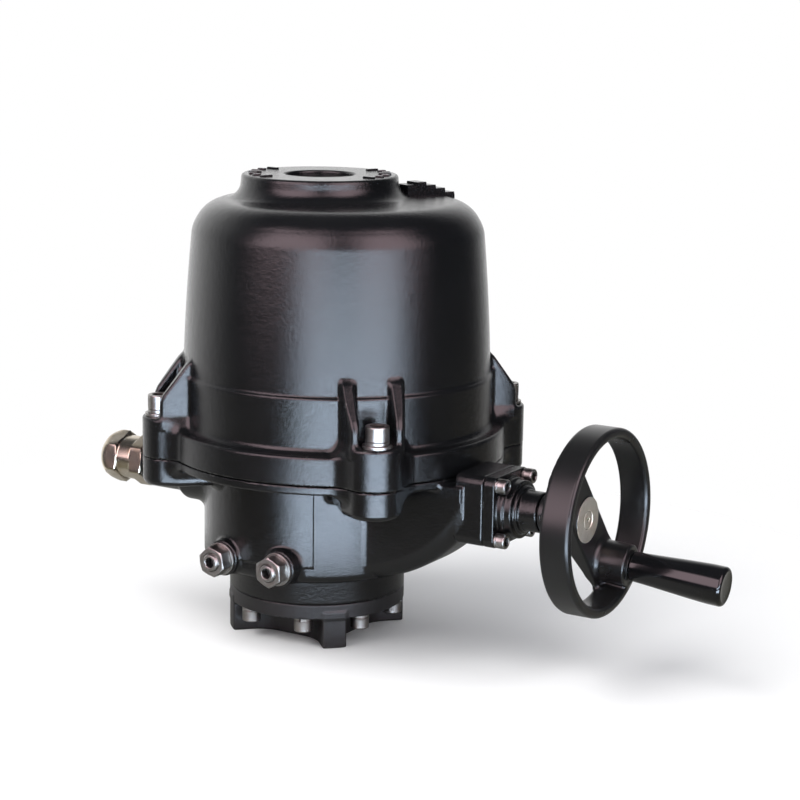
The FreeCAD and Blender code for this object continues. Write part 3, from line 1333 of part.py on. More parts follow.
def output_drive():
    barrel = cylinder("SleeveBarrel", "dim.sleeve_radius", "dim.gear_top - dim.sleeve_bottom",
                      (0, 0, "dim.sleeve_bottom"))
    top = cylinder("SleeveTop", "dim.sleeve_top_radius", "dim.plate_top + dim.overlap - dim.gear_top",
                   (0, 0, "dim.gear_top"))
    seat = prism("InsertSeat", 8, "dim.insert_flats + 2 * dim.fit_gap", "dim.insert_height + dim.overlap",
                 (0, 0, "dim.sleeve_bottom - dim.overlap"))
    shaft_start = "dim.plate_top - dim.indicator_fit"
    on_shaft = "dim.indicator_radius + dim.fit_gap / 2"
    hole = cylinder("IndicatorHole", on_shaft, "2 * dim.indicator_fit",
                    (0, 0, f"{shaft_start} - dim.overlap"))
    subpart("drive_sleeve", cut("DriveSleeve", fuse("SleeveBlank", barrel, top), seat, hole))
    insert = prism("InsertBlank", 8, "dim.insert_flats", "dim.insert_height", (0, 0, "dim.sleeve_bottom"))
    bore = cylinder("DriveBore", "dim.drive_bore", "2 * dim.insert_height")
    keyway = box("DriveKeyway",
                 ("dim.drive_bore + dim.drive_key_depth", "dim.drive_key_width", "2 * dim.insert_height"),
                 (0, "-dim.drive_key_width / 2", 0))
    subpart("drive_insert", cut("DriveInsert", insert, bore, keyway))
    stop_lever()
    on_sleeve = "dim.sleeve_radius + dim.running_gap"
    bush_bottom = "dim.neck_bottom + dim.seat_gap"
    subpart("output_lower_bush", ring("LowerBush", "dim.bush_bore - dim.running_gap", on_sleeve,
                                      f"dim.bowl_floor - ({bush_bottom}) - dim.seat_gap",
                                      (0, 0, bush_bottom)))
    subpart("output_seal", ring("OutputSeal", "dim.base_bore - dim.running_gap", on_sleeve,
                                "dim.cap_seal_width", (0, 0, "dim.ring_bottom")))
    subpart("output_upper_bush", ring("UpperBush", "dim.sleeve_top_radius + dim.transfer_bush_wall",
                                      "dim.sleeve_top_radius + dim.running_gap", "dim.plate_thickness",
                                      (0, 0, "dim.split")))
    subpart("indicator_shaft",
            cylinder("IndicatorShaft", "dim.indicator_radius", f"dim.indicator_top - ({shaft_start})",
                     (0, 0, shaft_start)))
    cams = []
    for step in range(4):
        height = f"dim.cam_bottom + {step} * dim.cam_pitch"
        disc = ring("CamDisc", "dim.cam_radius", on_shaft, "dim.cam_height", (0, 0, height))
        notch_x = "dim.cam_radius - dim.cam_notch"
        if step % 2 == 0:
            notch_x = "-dim.cam_radius - dim.cam_height + dim.cam_notch"
        notch = box("CamNotch", ("dim.cam_height", "dim.cam_height", "dim.cam_height"),
                    (notch_x, "-dim.cam_height / 2", height))
        cams.append(cut("SwitchCam", disc, notch))
    subpart("switch_cams", group("SwitchCams", cams))
    subpart("indicator_dial", ring("IndicatorDial", "dim.dial_radius", on_shaft, "dim.dial_thickness",
                                   (0, 0, "dim.indicator_top - dim.dial_thickness")))


# Pieces on the plate inside the cover

def gear_plate():
    low = "dim.split - dim.overlap"
    thick = "2 * dim.plate_thickness"
    holes = [
        cylinder("PlateCentre", "dim.sleeve_top_radius + dim.transfer_bush_wall + dim.running_gap", thick,
                 (0, 0, low)),
        cylinder("PlateTransfer",
                 "dim.transfer_radius + dim.transfer_bush_wall + dim.overlap + dim.running_gap", thick,
                 (*TRANSFER_AT, low)),
        cylinder("PlateMotor", "dim.motor_opening", thick, (*MOTOR_AT, low)),
    ]
    screws = []
    for x, y in plate_screw_places():
        holes.append(cylinder("PlateScrewHole", "dim.plate_screw / 2 + dim.seat_gap", thick, (x, y, low)))
        screws.append(socket_screw("PlateScrew", "dim.plate_screw", "dim.plate_screw_length",
                                   (x, y, "dim.plate_top"), "Z"))
    disc = cylinder("PlateDisc", "dim.plate_radius", "dim.plate_thickness", (COVER_X, 0, "dim.split"))
    subpart("gear_plate", cut("GearPlate", disc, *holes))
    subpart("plate_screws", group("PlateScrews", screws))


def motor():
    head = cylinder("MotorHeadBlank", "dim.motor_head_radius", "dim.motor_head",
                    (*MOTOR_AT, "dim.plate_top"))
    bore = cylinder("MotorHeadBore", "dim.motor_shaft_radius + dim.running_gap",
                    "dim.motor_shaft_fit + dim.overlap",
                    (*MOTOR_AT, "dim.plate_top - dim.overlap"))
    subpart("motor_gearhead", cut("MotorGearhead", head, bore))
    subpart("motor", cylinder("Motor", "dim.motor_radius", "dim.motor_length",
                              (*MOTOR_AT, "dim.plate_top + dim.motor_head")))


def capacitor():
    at = ("dim.capacitor_x", "dim.capacitor_y")
    foot = "dim.plate_top + dim.clip_wall"
    subpart("capacitor", cylinder("Capacitor", "dim.capacitor_radius", "dim.capacitor_height", (*at, foot)))
    cup = cylinder("ClipCup", "dim.capacitor_radius + dim.clip_wall", "dim.clip_height",
                   (*at, "dim.plate_top"))
    bore = cylinder("ClipBore", "dim.capacitor_radius + dim.fit_gap", "dim.clip_height", (*at, foot))
    subpart("capacitor_clip", cut("CapacitorClip", cup, bore))


def terminals():
    """A row of screw terminals on a rail, with a slot for each wire."""
    start = "-dim.terminal_length / 2"
    subpart("terminal_rail",
            box("TerminalRail", ("dim.terminal_width", "dim.terminal_length", "dim.rail_height"),
                ("dim.terminal_x", start, "dim.plate_top")))
    low = "dim.plate_top + dim.rail_height"
    block = box("TerminalBlank", ("dim.terminal_width", "dim.terminal_length", "dim.terminal_height"),
                ("dim.terminal_x", start, low))
    slots = [box("TerminalSlot",
                 ("dim.terminal_width - 2 * dim.clip_wall", "dim.terminal_slot", "dim.terminal_height"),
                 ("dim.terminal_x + dim.clip_wall", f"{start} + {index + 0.5} * dim.terminal_pitch",
                  f"{low} + dim.terminal_height / 2"))
             for index in range(round(value("dim.terminal_count")))]
    subpart("terminal_block", cut("TerminalBlock", block, *slots))


def switch_bracket():
    """A sheet bracket with one limit switch beside each cam."""
    half = "-dim.bracket_width / 2"
    height = "dim.cam_bottom + 4 * dim.cam_pitch - dim.plate_top"
    post = box("BracketPost", ("dim.bracket_sheet", "dim.bracket_width", height),
               ("dim.bracket_x", half, "dim.plate_top"))
    foot = box("BracketFoot", ("dim.bracket_foot", "dim.bracket_width", "dim.bracket_sheet"),
               ("dim.bracket_x", half, "dim.plate_top"))
    subpart("switch_bracket", fuse("SwitchBracket", post, foot))
    switches = []
    for step in range(4):
        at = ("dim.bracket_x + dim.bracket_sheet", "-dim.switch_width / 2",
              f"dim.cam_bottom + {step} * dim.cam_pitch - (dim.switch_height - dim.cam_height) / 2")
        switches.append(box("LimitSwitch", ("dim.switch_length", "dim.switch_width", "dim.switch_height"),
                            at))
    subpart("limit_switches", group("LimitSwitches", switches))


def build():
    mounting_base()
    base_fasteners()
    body_casting()
    cover()
    cover_fasteners()
    window()
    shaft_parts()
    shaft_cap()
    handwheel()
    handle()
    stops()
    cable_gland()
    drive_train()
    output_drive()
    gear_plate()
    motor()
    capacitor()
    terminals()
    switch_bracket()
    doc.recompute()


def check():
    """Stops if any object failed, or a sub-part has no valid shape."""
    for item in doc.Objects:
        if "Invalid" in item.State or "Error" in item.State:
            raise RuntimeError(f"{item.Name} failed: {item.State}")
    for item in subparts:
        if item.Shape.isNull() or not item.Shape.isValid() or not item.Shape.Solids:
            raise RuntimeError(f"{item.Label} has no valid solid")


def export():
    os.makedirs("parts", exist_ok=True)
    for item in subparts:
        item.Shape.exportStep(f"parts/{item.Label}.step")
        print(f"{item.Label}: {len(item.Shape.Solids)} solids, {item.Shape.Volume / 1000:.2f} cm3")


build()
check()
export()
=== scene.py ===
"""Looks of the quarter-turn electric actuator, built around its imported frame. Lengths in this file are
millimetres until a mesh is made; the scene itself is in metres, with the valve mounting face at z 0 and
the output axis on Z."""
import json
import math

import bmesh
import bpy
import mathutils
import numpy as np
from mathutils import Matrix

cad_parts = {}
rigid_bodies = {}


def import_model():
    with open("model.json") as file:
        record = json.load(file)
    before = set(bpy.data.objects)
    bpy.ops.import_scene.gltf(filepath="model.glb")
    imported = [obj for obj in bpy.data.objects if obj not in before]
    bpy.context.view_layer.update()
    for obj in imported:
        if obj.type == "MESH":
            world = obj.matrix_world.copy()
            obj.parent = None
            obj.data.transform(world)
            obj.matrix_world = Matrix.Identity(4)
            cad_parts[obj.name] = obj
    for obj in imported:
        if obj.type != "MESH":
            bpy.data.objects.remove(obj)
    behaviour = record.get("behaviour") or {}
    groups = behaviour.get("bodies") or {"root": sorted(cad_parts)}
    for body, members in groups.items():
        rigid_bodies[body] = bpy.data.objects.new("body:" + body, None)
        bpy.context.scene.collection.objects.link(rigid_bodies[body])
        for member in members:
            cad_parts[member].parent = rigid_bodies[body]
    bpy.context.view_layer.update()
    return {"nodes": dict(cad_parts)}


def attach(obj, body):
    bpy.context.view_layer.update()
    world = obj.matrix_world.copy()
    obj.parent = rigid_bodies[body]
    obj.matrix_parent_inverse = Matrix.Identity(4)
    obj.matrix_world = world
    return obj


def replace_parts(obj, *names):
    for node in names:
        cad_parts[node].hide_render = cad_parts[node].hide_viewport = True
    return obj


MM = 0.001
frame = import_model()
nodes = frame["nodes"]

# Driving sizes, as in the frame: base, neck and bowl
FLANGE_R = 62.5
RING_BOTTOM, RING_TOP = 21.0, 31.5
CORE_HALF, CORE_TOP, FOOT_HALF = 33.5, 26.0, 8.5
BASE_BORE_R = 26.0
VALVE_HOLE_AT, VALVE_HOLE_R, VALVE_HOLE_DEPTH = 36.06, 4.25, 18.0
BASE_SCREW_R, BASE_SCREW_SPREAD = 55.0, 23.5
NECK_TOP, NECK_END = 51.0, 60.0
BOWL_R, BOWL_FOOT_ROUND = 80.6, 7.0
PANEL_HALF_ANGLE, PANEL_LOW, PANEL_HIGH, PANEL_RELIEF = 31.5, 63.5, 121.0, 0.9
FLANGE_BOTTOM, SPLIT, PARTING = 125.5, 131.5, 0.15

# Cover
COVER_X, COVER_FLANGE_R, COVER_FLANGE_TOP, FLANGE_DRAFT = 15.6, 118.4, 151.5, 0.025
SKIRT_R, BEAD_R, BEAD_Z = 109.0, 107.4, 189.0
SHOULDER_R, SHOULDER_Z, SHOULDER_ROUND, BELLY = 101.2, 285.5, 21.6, 3.12
TOP_Z, CROWN, CROWN_R = 309.8, 2.7, 79.6
BOSS_R, BOSS_TOP, BOSS_BLEND = 55.2, 323.8, 9.0
BOSS_DRAFT, BOSS_DRAFT_Z = 0.10, 309.0
WINDOW_R, WINDOW_FLOOR = 24.0, 305.0

# Lugs of cover and housing
LUG_TURN = 45.0
LUG_SEAT, LUG_BOTTOM, LUG_TIP, LUG_HALF, LUG_ROOT, LUG_TIP_HALF = 159.5, 112.0, 136.8, 21.0, 114.0, 12.8
LUG_BOLT_R, LUG_HOLE_R = 125.0, 5.2
SHIELD_START = 120.0
FIN_END, FIN_SHOULDER, FIN_TOP, FIN_MIDDLE, FIN_HALF = 126.8, 173.5, 199.5, 16.5, 4.5

# Handwheel shaft: duct, pad and cap
SHAFT_Y, SHAFT_Z = -18.0, 113.5
DUCT_FAR, DUCT_NEAR, DUCT_START, DUCT_END, DUCT_TOP = -44.0, 8.0, 40.0, 142.0, 128.0
DUCT_ARC_X, DUCT_ARC_Z, DUCT_ARC_R = 52.7, 162.1, 110.0
PAD_START, PAD_END, PAD_HALF, PAD_CORNER = 136.0, 157.0, 24.0, 6.0
DUCT_BORE_R, DUCT_BORE_START = 14.0, 120.0
CAP_FLANGE_END, CAP_SCREW_OUT, CAP_SCREW_R, CAP_HEAD_ROOM = 165.5, 18.5, 3.2, 5.5
CAP_STEPS = ((21.0, 170.0), (19.6, 175.5), (16.0, 178.0), (13.7, 191.0))
CAP_BORE_R, CAP_BORE_START = 10.6, 183.0

# Handwheel and handle
WHEEL_TURN, WHEEL_R, WHEEL_BACK, WHEEL_FRONT = -51.0, 62.5, 218.5, 239.5
RIM_THICK, RIM_ROUND = 7.0, 2.6
WEB_BACK, WEB_THINNING, WEB_FRONT, WEB_HALF, WEB_REACH = 208.0, 9.5, 222.0, 16.3, 58.0
HUB_BACK, HUB_FRONT, HUB_R, HUB_FACE_R = 191.6, 222.8, 13.0, 15.5
HUB_CONE_START, HUB_CONE_LENGTH = 201.0, 7.0
HANDLE_X, HANDLE_CIRCLE, HANDLE_SPLAY, HANDLE_BOSS_R, HANDLE_BOSS_DEEP = 241.5, 44.2, 5.5, 13.8, 24.0
SPINDLE_HOLE_R, SPINDLE_HOLE_DEEP = 4.05, 13.5
GRUB_X, GRUB_HOLE_R, SHAFT_HOLE_R = 196.6, 2.55, 6.05

# Stops and cable entries
STOP_X, STOP_Z, STOP_BOSS_R, STOP_BOSS_START, STOP_BOSS_END = 23.5, 63.6, 12.5, 60.0, 84.0
ENTRY_Y, ENTRY_Z, ENTRY_START, ENTRY_FACE, ENTRY_R = 40.0, 112.0, 40.0, 115.0, 18.0
ENTRY_FOOT_R, ENTRY_FOOT_END = 22.5, 81.0

# Seats of screw heads and spring washers, and the top of the dial
COVER_BOLT_SEAT, COVER_SPRING_SEAT = 164.1, 161.58
BASE_SCREW_SEAT, BASE_SPRING_SEAT = 18.92, 20.97
CAP_SCREW_SEAT, CAP_SPRING_SEAT = 167.06, 165.55
DIAL_TOP = 311.48


# Distance fields: each takes an array of points and gives the signed distance to a shape, negative inside

def cut_round(a, b, radius):
    """Common part of two fields with the edge between them rounded to a radius."""
    ua, ub = np.maximum(radius + a, 0), np.maximum(radius + b, 0)
    return np.minimum(-radius, np.maximum(a, b)) + np.hypot(ua, ub)


def join_round(a, b, radius):
    """Union of two fields with a fillet of a radius between them."""
    ua, ub = np.maximum(radius - a, 0), np.maximum(radius - b, 0)
    return np.maximum(radius, np.minimum(a, b)) - np.hypot(ua, ub)


def hollow(whole, hole, edge=0.5):
    """What is left of a field when a hole's field is taken out of it, with the hole's rim rounded."""
    return cut_round(whole, -hole, edge)


def slab(values, low, high):
    """Distance to the layer between two parallel planes."""
    return np.abs(values - (low + high) / 2) - (high - low) / 2


def drum(along, across, low, high, radius, edge=1.0):
    """Cylinder with rounded rims: along is the coordinate on its axis, across the distance from the axis."""
    return cut_round(slab(along, low, high), across - radius, edge)


def rounded_box(u, v, half_u, half_v, corner):
    """Rectangle in two coordinates with rounded corners."""
    return cut_round(np.abs(u) - half_u, np.abs(v) - half_v, corner)


def net(field, low, high, step):
    """Closed surface of a field by surface nets: one point in each cell of a grid that the surface
    crosses, joined by one four-sided face for each grid edge that it crosses. Values are worked out only
    in blocks near the surface."""
    low, high = np.array(low, float), np.array(high, float)
    block = 8
    count = np.ceil((high - low) / step / block).astype(int)
    size = count * block + 1
    centres = [low[i] + (np.arange(count[i]) + 0.5) * block * step for i in range(3)]
    middle = np.stack(np.meshgrid(*centres, indexing="ij"), -1).reshape(-1, 3)
    value = field(middle)
    near = np.abs(value) < block * step * 1.15
    grid = value.reshape(count)
    for axis in range(3):
        grid = np.repeat(grid, block, axis)
    grid = np.pad(grid.astype(np.float32), ((0, 1),) * 3, mode="edge")
    cells = np.stack(np.unravel_index(np.flatnonzero(near), count), -1) * block
    local = np.stack(np.meshgrid(*[np.arange(block + 1)] * 3, indexing="ij"), -1).reshape(-1, 3)
    for part in np.array_split(cells, max(1, len(cells) // 1500)):
        index = (part[:, None, :] + local[None]).reshape(-1, 3)
        grid[index[:, 0], index[:, 1], index[:, 2]] = field(low + index * step)
    inside = grid < 0
    corners = np.zeros(size - 1, np.int8)
    for shift in np.ndindex(2, 2, 2):
        corners += inside[shift[0]:size[0] - 1 + shift[0], shift[1]:size[1] - 1 + shift[1],
                          shift[2]:size[2] - 1 + shift[2]]
    active = np.argwhere((corners > 0) & (corners < 8))
    number = np.full(size - 1, -1, np.int32)
    number[tuple(active.T)] = np.arange(len(active))
    total, hits = np.zeros((len(active), 3)), np.zeros(len(active))
    for axis in range(3):
        for other in np.ndindex(2, 2):
            start = np.insert(np.array(other), axis, 0)
            end = start.copy()
            end[axis] = 1
            a = grid[tuple((active + start).T)].astype(float)
            b = grid[tuple((active + end).T)].astype(float)
            crossed = (a < 0) != (b < 0)
            share = np.where(crossed, a / np.where(crossed, a - b, 1), 0)
            total += crossed[:, None] * (start + share[:, None] * (end - start))
            hits += crossed
    points = low + (active + total / hits[:, None]) * step
    faces = []
    for axis in range(3):
        first = np.moveaxis(inside, axis, 0)
        changed = first[:-1] != first[1:]
        changed = np.moveaxis(changed, 0, axis)
        edges = np.argwhere(changed)
        side_a, side_b = [i for i in range(3) if i != axis]
        edges = edges[(edges[:, side_a] > 0) & (edges[:, side_b] > 0)
                      & (edges[:, side_a] < size[side_a] - 1) & (edges[:, side_b] < size[side_b] - 1)]
        out = inside[tuple(edges.T)]
        ring = []
        for step_a, step_b in ((0, 0), (1, 0), (1, 1), (0, 1)):
            cell = edges.copy()
            cell[:, side_a] -= step_a
            cell[:, side_b] -= step_b
            ring.append(number[tuple(cell.T)])
        quad = np.stack(ring, 1)
        flip = out if axis != 1 else ~out
        quad[~flip] = quad[~flip][:, ::-1]
        faces.append(quad)
    return points, np.concatenate(faces)


def gradient(field, points, reach=0.05):
    """Outward normal of a field at points, from differences to both sides."""
    normal = np.empty_like(points)
    for axis in range(3):
        shift = np.zeros(3)
        shift[axis] = reach
        normal[:, axis] = field(points + shift) - field(points - shift)
    return normal / np.maximum(np.linalg.norm(normal, axis=1), 1e-9)[:, None]


def settle(field, points, step, rounds=3):
    """Moves points along the field's normal until they lie on its surface."""
    for _ in range(rounds):
        normal = gradient(field, points)
        distance = np.clip(field(points), -step, step)
        points = points - normal * distance[:, None]
    return points


# Slot of each new piece, from which dress() picks its finish
PIECE_SLOTS = {}


def mesh_piece(name, points, faces, body, slot):
    """A mesh object in metres from points in millimetres."""
    mesh = bpy.data.meshes.new(name)
    mesh.from_pydata((np.asarray(points) * MM).tolist(), [], np.asarray(faces).tolist())
    mesh.polygons.foreach_set("use_smooth", np.ones(len(mesh.polygons), bool))
    mesh.update()
    piece = bpy.data.objects.new(name, mesh)
    bpy.context.scene.collection.objects.link(piece)
    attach(piece, body)
    PIECE_SLOTS[name] = slot
    return piece


def cast_piece(name, field, low, high, step, body, slot, keep=1.0):
    """A cast part from its field: netted, thinned to a share of its faces where it is smooth, and set
    back on the field."""
    points, faces = net(field, low, high, step)
    points = settle(field, points, step)
    piece = mesh_piece(name, points, faces, body, slot)
    if keep < 1:
        thin = piece.modifiers.new("Thin", "DECIMATE")
        thin.ratio = keep
        bpy.context.view_layer.update()
        thinned = bpy.data.meshes.new_from_object(piece.evaluated_get(bpy.context.evaluated_depsgraph_get()))
        piece.modifiers.clear()
        old = piece.data
        piece.data = thinned
        bpy.data.meshes.remove(old)
        thinned.name = name
    mesh = piece.data
    place = np.empty(len(mesh.vertices) * 3)
    mesh.vertices.foreach_get("co", place)
    place = settle(field, place.reshape(-1, 3) / MM, step, rounds=2)
    mesh.vertices.foreach_set("co", (place * MM).ravel())
    mesh.polygons.foreach_set("use_smooth", np.ones(len(mesh.polygons), bool))
    mesh.update()
    mesh.normals_split_custom_set_from_vertices(gradient(field, place).tolist())
    edge = mesh.attributes.new("edge", "FLOAT", "POINT")
    edge.data.foreach_set("value", np.clip(bending(field, place), 0, 1).astype(np.float32))
    return piece


def bending(field, points, reach=0.5):
    """How tightly the surface turns outward, in 1/mm: the field's second differences along the three
    axes, added."""
    middle = field(points)
    total = np.zeros(len(points))
    for axis in range(3):
        shift = np.zeros(3)
        shift[axis] = reach
        total += field(points + shift) + field(points - shift) - 2 * middle
    return total / reach ** 2


# Cover and housing

def lug_frames(x, y):
    """Points in the frame of the nearest of the four lugs: outward distance from the cover's axis, and
    sideways."""
    dx = x - COVER_X
    c, s = math.cos(math.radians(LUG_TURN)), math.sin(math.radians(LUG_TURN))
    u, v = dx * c + y * s, -dx * s + y * c
    swap = np.abs(v) > np.abs(u)
    out = np.where(swap, np.abs(v), np.abs(u))
    side = np.where(swap, u, v)
    return out, side


def lug_outline(out, side):
    """Plan of one lug: two sides that draw in towards a rounded tip."""
    run = LUG_TIP - LUG_ROOT
    fall = LUG_HALF - LUG_TIP_HALF
    sides = ((np.abs(side) - LUG_HALF) * run + (out - LUG_ROOT) * fall) / math.hypot(run, fall)
    return cut_round(np.maximum(sides, np.abs(side) - LUG_HALF), out - LUG_TIP, 12.0)


def shield_outline(out, side):
    """Plan of a lug's upper half: as wide as its two fins as far as their ends, then drawn in to the same
    tip."""
    run, fall = LUG_TIP - SHIELD_START, LUG_HALF - LUG_TIP_HALF
    sides = ((np.abs(side) - LUG_HALF) * run + (out - SHIELD_START) * fall) / math.hypot(run, fall)
    return cut_round(cut_round(sides, np.abs(side) - LUG_HALF, 6.0), out - LUG_TIP, 11.0)


def cover_field(p):
    """Cover: a wall that bellies and narrows upwards under a crowned top, on a skirt and a lugged flange;
    each lug has a seat and two fins, and the boss on top has a round window."""
    x, y, z = p[:, 0], p[:, 1], p[:, 2]
    r, axis_r = np.hypot(x - COVER_X, y), np.hypot(x, y)
    out, side = lug_frames(x, y)
    height = np.clip((z - BEAD_Z) / (SHOULDER_Z - BEAD_Z), -0.1, 1.1)
    wall_r = BEAD_R + (SHOULDER_R - BEAD_R) * height + BELLY * height * (1 - height)
    top = z - (TOP_Z - CROWN * (np.clip(r, 0, 110) / CROWN_R) ** 2)
    dome = cut_round(r - wall_r, top, SHOULDER_ROUND)
    skirt = cut_round(r - SKIRT_R, z - BEAD_Z + 0.6, 1.4)
    dome = join_round(dome, skirt, 1.4)
    flange = cut_round(r - COVER_FLANGE_R + FLANGE_DRAFT * (z - SPLIT), z - COVER_FLANGE_TOP, 2.2)
    shield = shield_outline(out, side)
    lug = cut_round(shield, z - LUG_SEAT, 2.2)
    flange = join_round(flange, lug, 11.0)
    whole = join_round(dome, flange, 4.0)
    run, rise = FIN_END - BEAD_R, FIN_TOP - FIN_SHOULDER
    roof = ((out - FIN_END) * rise + (z - FIN_SHOULDER) * run) / math.hypot(run, rise)
    roof = cut_round(roof, out - FIN_END, 3.0)
    fin = cut_round(np.abs(np.abs(side) - FIN_MIDDLE) - FIN_HALF, cut_round(roof, z - FIN_TOP, 2.5), 2.4)
    fin = np.maximum(cut_round(fin, shield, 2.4), LUG_SEAT - 6.0 - z)
    whole = join_round(whole, fin, 3.6)
    draft = BOSS_DRAFT * np.clip(z - BOSS_DRAFT_Z, 0, 20)
    boss = cut_round(axis_r - BOSS_R - 0.5 + draft, z - BOSS_TOP, 2.0)
    whole = join_round(whole, boss, BOSS_BLEND)
    whole = hollow(whole, np.maximum(axis_r - WINDOW_R, WINDOW_FLOOR - z), 1.6)
    whole = hollow(whole, np.hypot(out - LUG_BOLT_R, side) - LUG_HOLE_R)
    return cut_round(whole, SPLIT + PARTING - z, 0.8)


def body_field(p):
    """Gear housing: a round bowl on a neck, with a raised front panel, a lugged flange, the duct and pad
    of the handwheel shaft, two stop bosses and two cable entries."""
    x, y, z = p[:, 0], p[:, 1], p[:, 2]
    r, cover_r = np.hypot(x, y), np.hypot(x - COVER_X, y)
    out, side = lug_frames(x, y)
    neck = np.maximum(r - FLANGE_R, z - NECK_END)
    bowl = cut_round(r - BOWL_R, NECK_TOP - z, BOWL_FOOT_ROUND)
    bowl = np.maximum(bowl, z - SPLIT)
    whole = join_round(neck, bowl, 2.5)
    angle = np.arctan2(x, -y)
    panel = np.maximum((np.abs(angle) - math.radians(PANEL_HALF_ANGLE)) * BOWL_R,
                       slab(z, PANEL_LOW, PANEL_HIGH))
    panel = cut_round(panel, r - BOWL_R - PANEL_RELIEF, 0.7)
    panel = np.maximum(panel, BOWL_R - 3 - r)
    whole = join_round(whole, panel, 0.6)
    plate = cut_round(cover_r - COVER_FLANGE_R, FLANGE_BOTTOM - z, 1.4)
    lug = cut_round(lug_outline(out, side), LUG_BOTTOM - z, 4.0)
    plate = join_round(plate, lug, 9.0)
    plate = np.maximum(plate, z - SPLIT)
    whole = join_round(whole, plate, 5.0)
    # the duct's underside is an arc about a point up in the bowl
    under = np.hypot(x - DUCT_ARC_X, z - DUCT_ARC_Z) - DUCT_ARC_R
    duct = cut_round(slab(y, DUCT_FAR, DUCT_NEAR), under, 12.0)
    duct = np.maximum(np.maximum(duct, DUCT_START - x), np.maximum(x - DUCT_END, z - DUCT_TOP))
    whole = join_round(whole, duct, 2.5)
    whole = cut_round(whole, z - SPLIT + PARTING, 0.8)
    square = rounded_box(y - SHAFT_Y, z - SHAFT_Z, PAD_HALF, PAD_HALF, PAD_CORNER)
    pad = cut_round(square, slab(x, PAD_START, PAD_END), 1.2)
    whole = join_round(whole, pad, 2.0)
    for sign in (-1, 1):
        boss = cut_round(np.hypot(x - sign * STOP_X, z - STOP_Z) - STOP_BOSS_R, -STOP_BOSS_END - y, 1.0)
        boss = np.maximum(boss, y + STOP_BOSS_START)
        whole = join_round(whole, boss, 3.0)
        off = np.hypot(y - sign * ENTRY_Y, z - ENTRY_Z)
        foot = cut_round(off - ENTRY_FOOT_R, -ENTRY_FOOT_END - x, 4.0)
        entry = cut_round(off - ENTRY_R, -ENTRY_FACE - x, 1.2)
        entry = np.maximum(join_round(entry, foot, 4.0), x + ENTRY_START)
        whole = join_round(whole, np.maximum(entry, z - SPLIT + PARTING), 5.0)
    bore = np.maximum(np.hypot(y - SHAFT_Y, z - SHAFT_Z) - DUCT_BORE_R, DUCT_BORE_START - x)
    return cut_round(hollow(whole, bore), RING_TOP + PARTING - z, 0.8)


def base_field(p):
    """Mounting base: a ring over a square core whose four corners run out into feet, with a bore and
    valve bolt holes."""
    x, y, z = p[:, 0], p[:, 1], p[:, 2]
    r = np.hypot(x, y)
    ring = cut_round(r - FLANGE_R, slab(z, RING_BOTTOM, RING_TOP), 1.0)
    core = cut_round(np.abs(x) - CORE_HALF, np.abs(y) - CORE_HALF, 2.0)
    across = np.abs(np.abs(x) - np.abs(y)) / math.sqrt(2)
    foot = cut_round(across - FOOT_HALF, r - FLANGE_R, 1.5)
    star = join_round(core, foot, 6.0)
    star = cut_round(star, slab(z, 0.0, CORE_TOP), 1.0)
    whole = join_round(ring, star, 2.0)
    whole = hollow(whole, r - BASE_BORE_R, 0.8)
    holes = np.hypot(np.abs(x) - VALVE_HOLE_AT, np.abs(y) - VALVE_HOLE_AT) - VALVE_HOLE_R
    return hollow(whole, np.maximum(holes, z - VALVE_HOLE_DEPTH), 0.6)


# Shaft cap and handwheel

def cap_field(p):
    """Cap of the handwheel shaft: a square flange with a screw hole in each corner, then round steps to a
    neck."""
    x, y, z = p[:, 0], p[:, 1] - SHAFT_Y, p[:, 2] - SHAFT_Z
    r = np.hypot(y, z)
    square = rounded_box(y, z, PAD_HALF, PAD_HALF, PAD_CORNER)
    whole = cut_round(square, slab(x, PAD_END + 0.2, CAP_FLANGE_END), 0.9)
    for radius, end in CAP_STEPS:
        whole = join_round(whole, drum(x, r, 160.0, end, radius, 1.0), 1.4)
    corners = np.hypot(np.abs(y) - CAP_SCREW_OUT, np.abs(z) - CAP_SCREW_OUT)
    head_room = np.maximum(corners - CAP_HEAD_ROOM, CAP_FLANGE_END - x)
    whole = hollow(whole, head_room, 0.4)
    whole = hollow(whole, corners - CAP_SCREW_R, 0.3)
    return hollow(whole, np.maximum(r - CAP_BORE_R, CAP_BORE_START - x), 0.6)


def wheel_places(p):
    """Points about the handwheel's axis: the distance from it, and the places along and across its web."""
    y, z = p[:, 1] - SHAFT_Y, p[:, 2] - SHAFT_Z
    c, s = math.cos(math.radians(WHEEL_TURN)), math.sin(math.radians(WHEEL_TURN))
    return np.hypot(y, z), y * c + z * s, -y * s + z * c


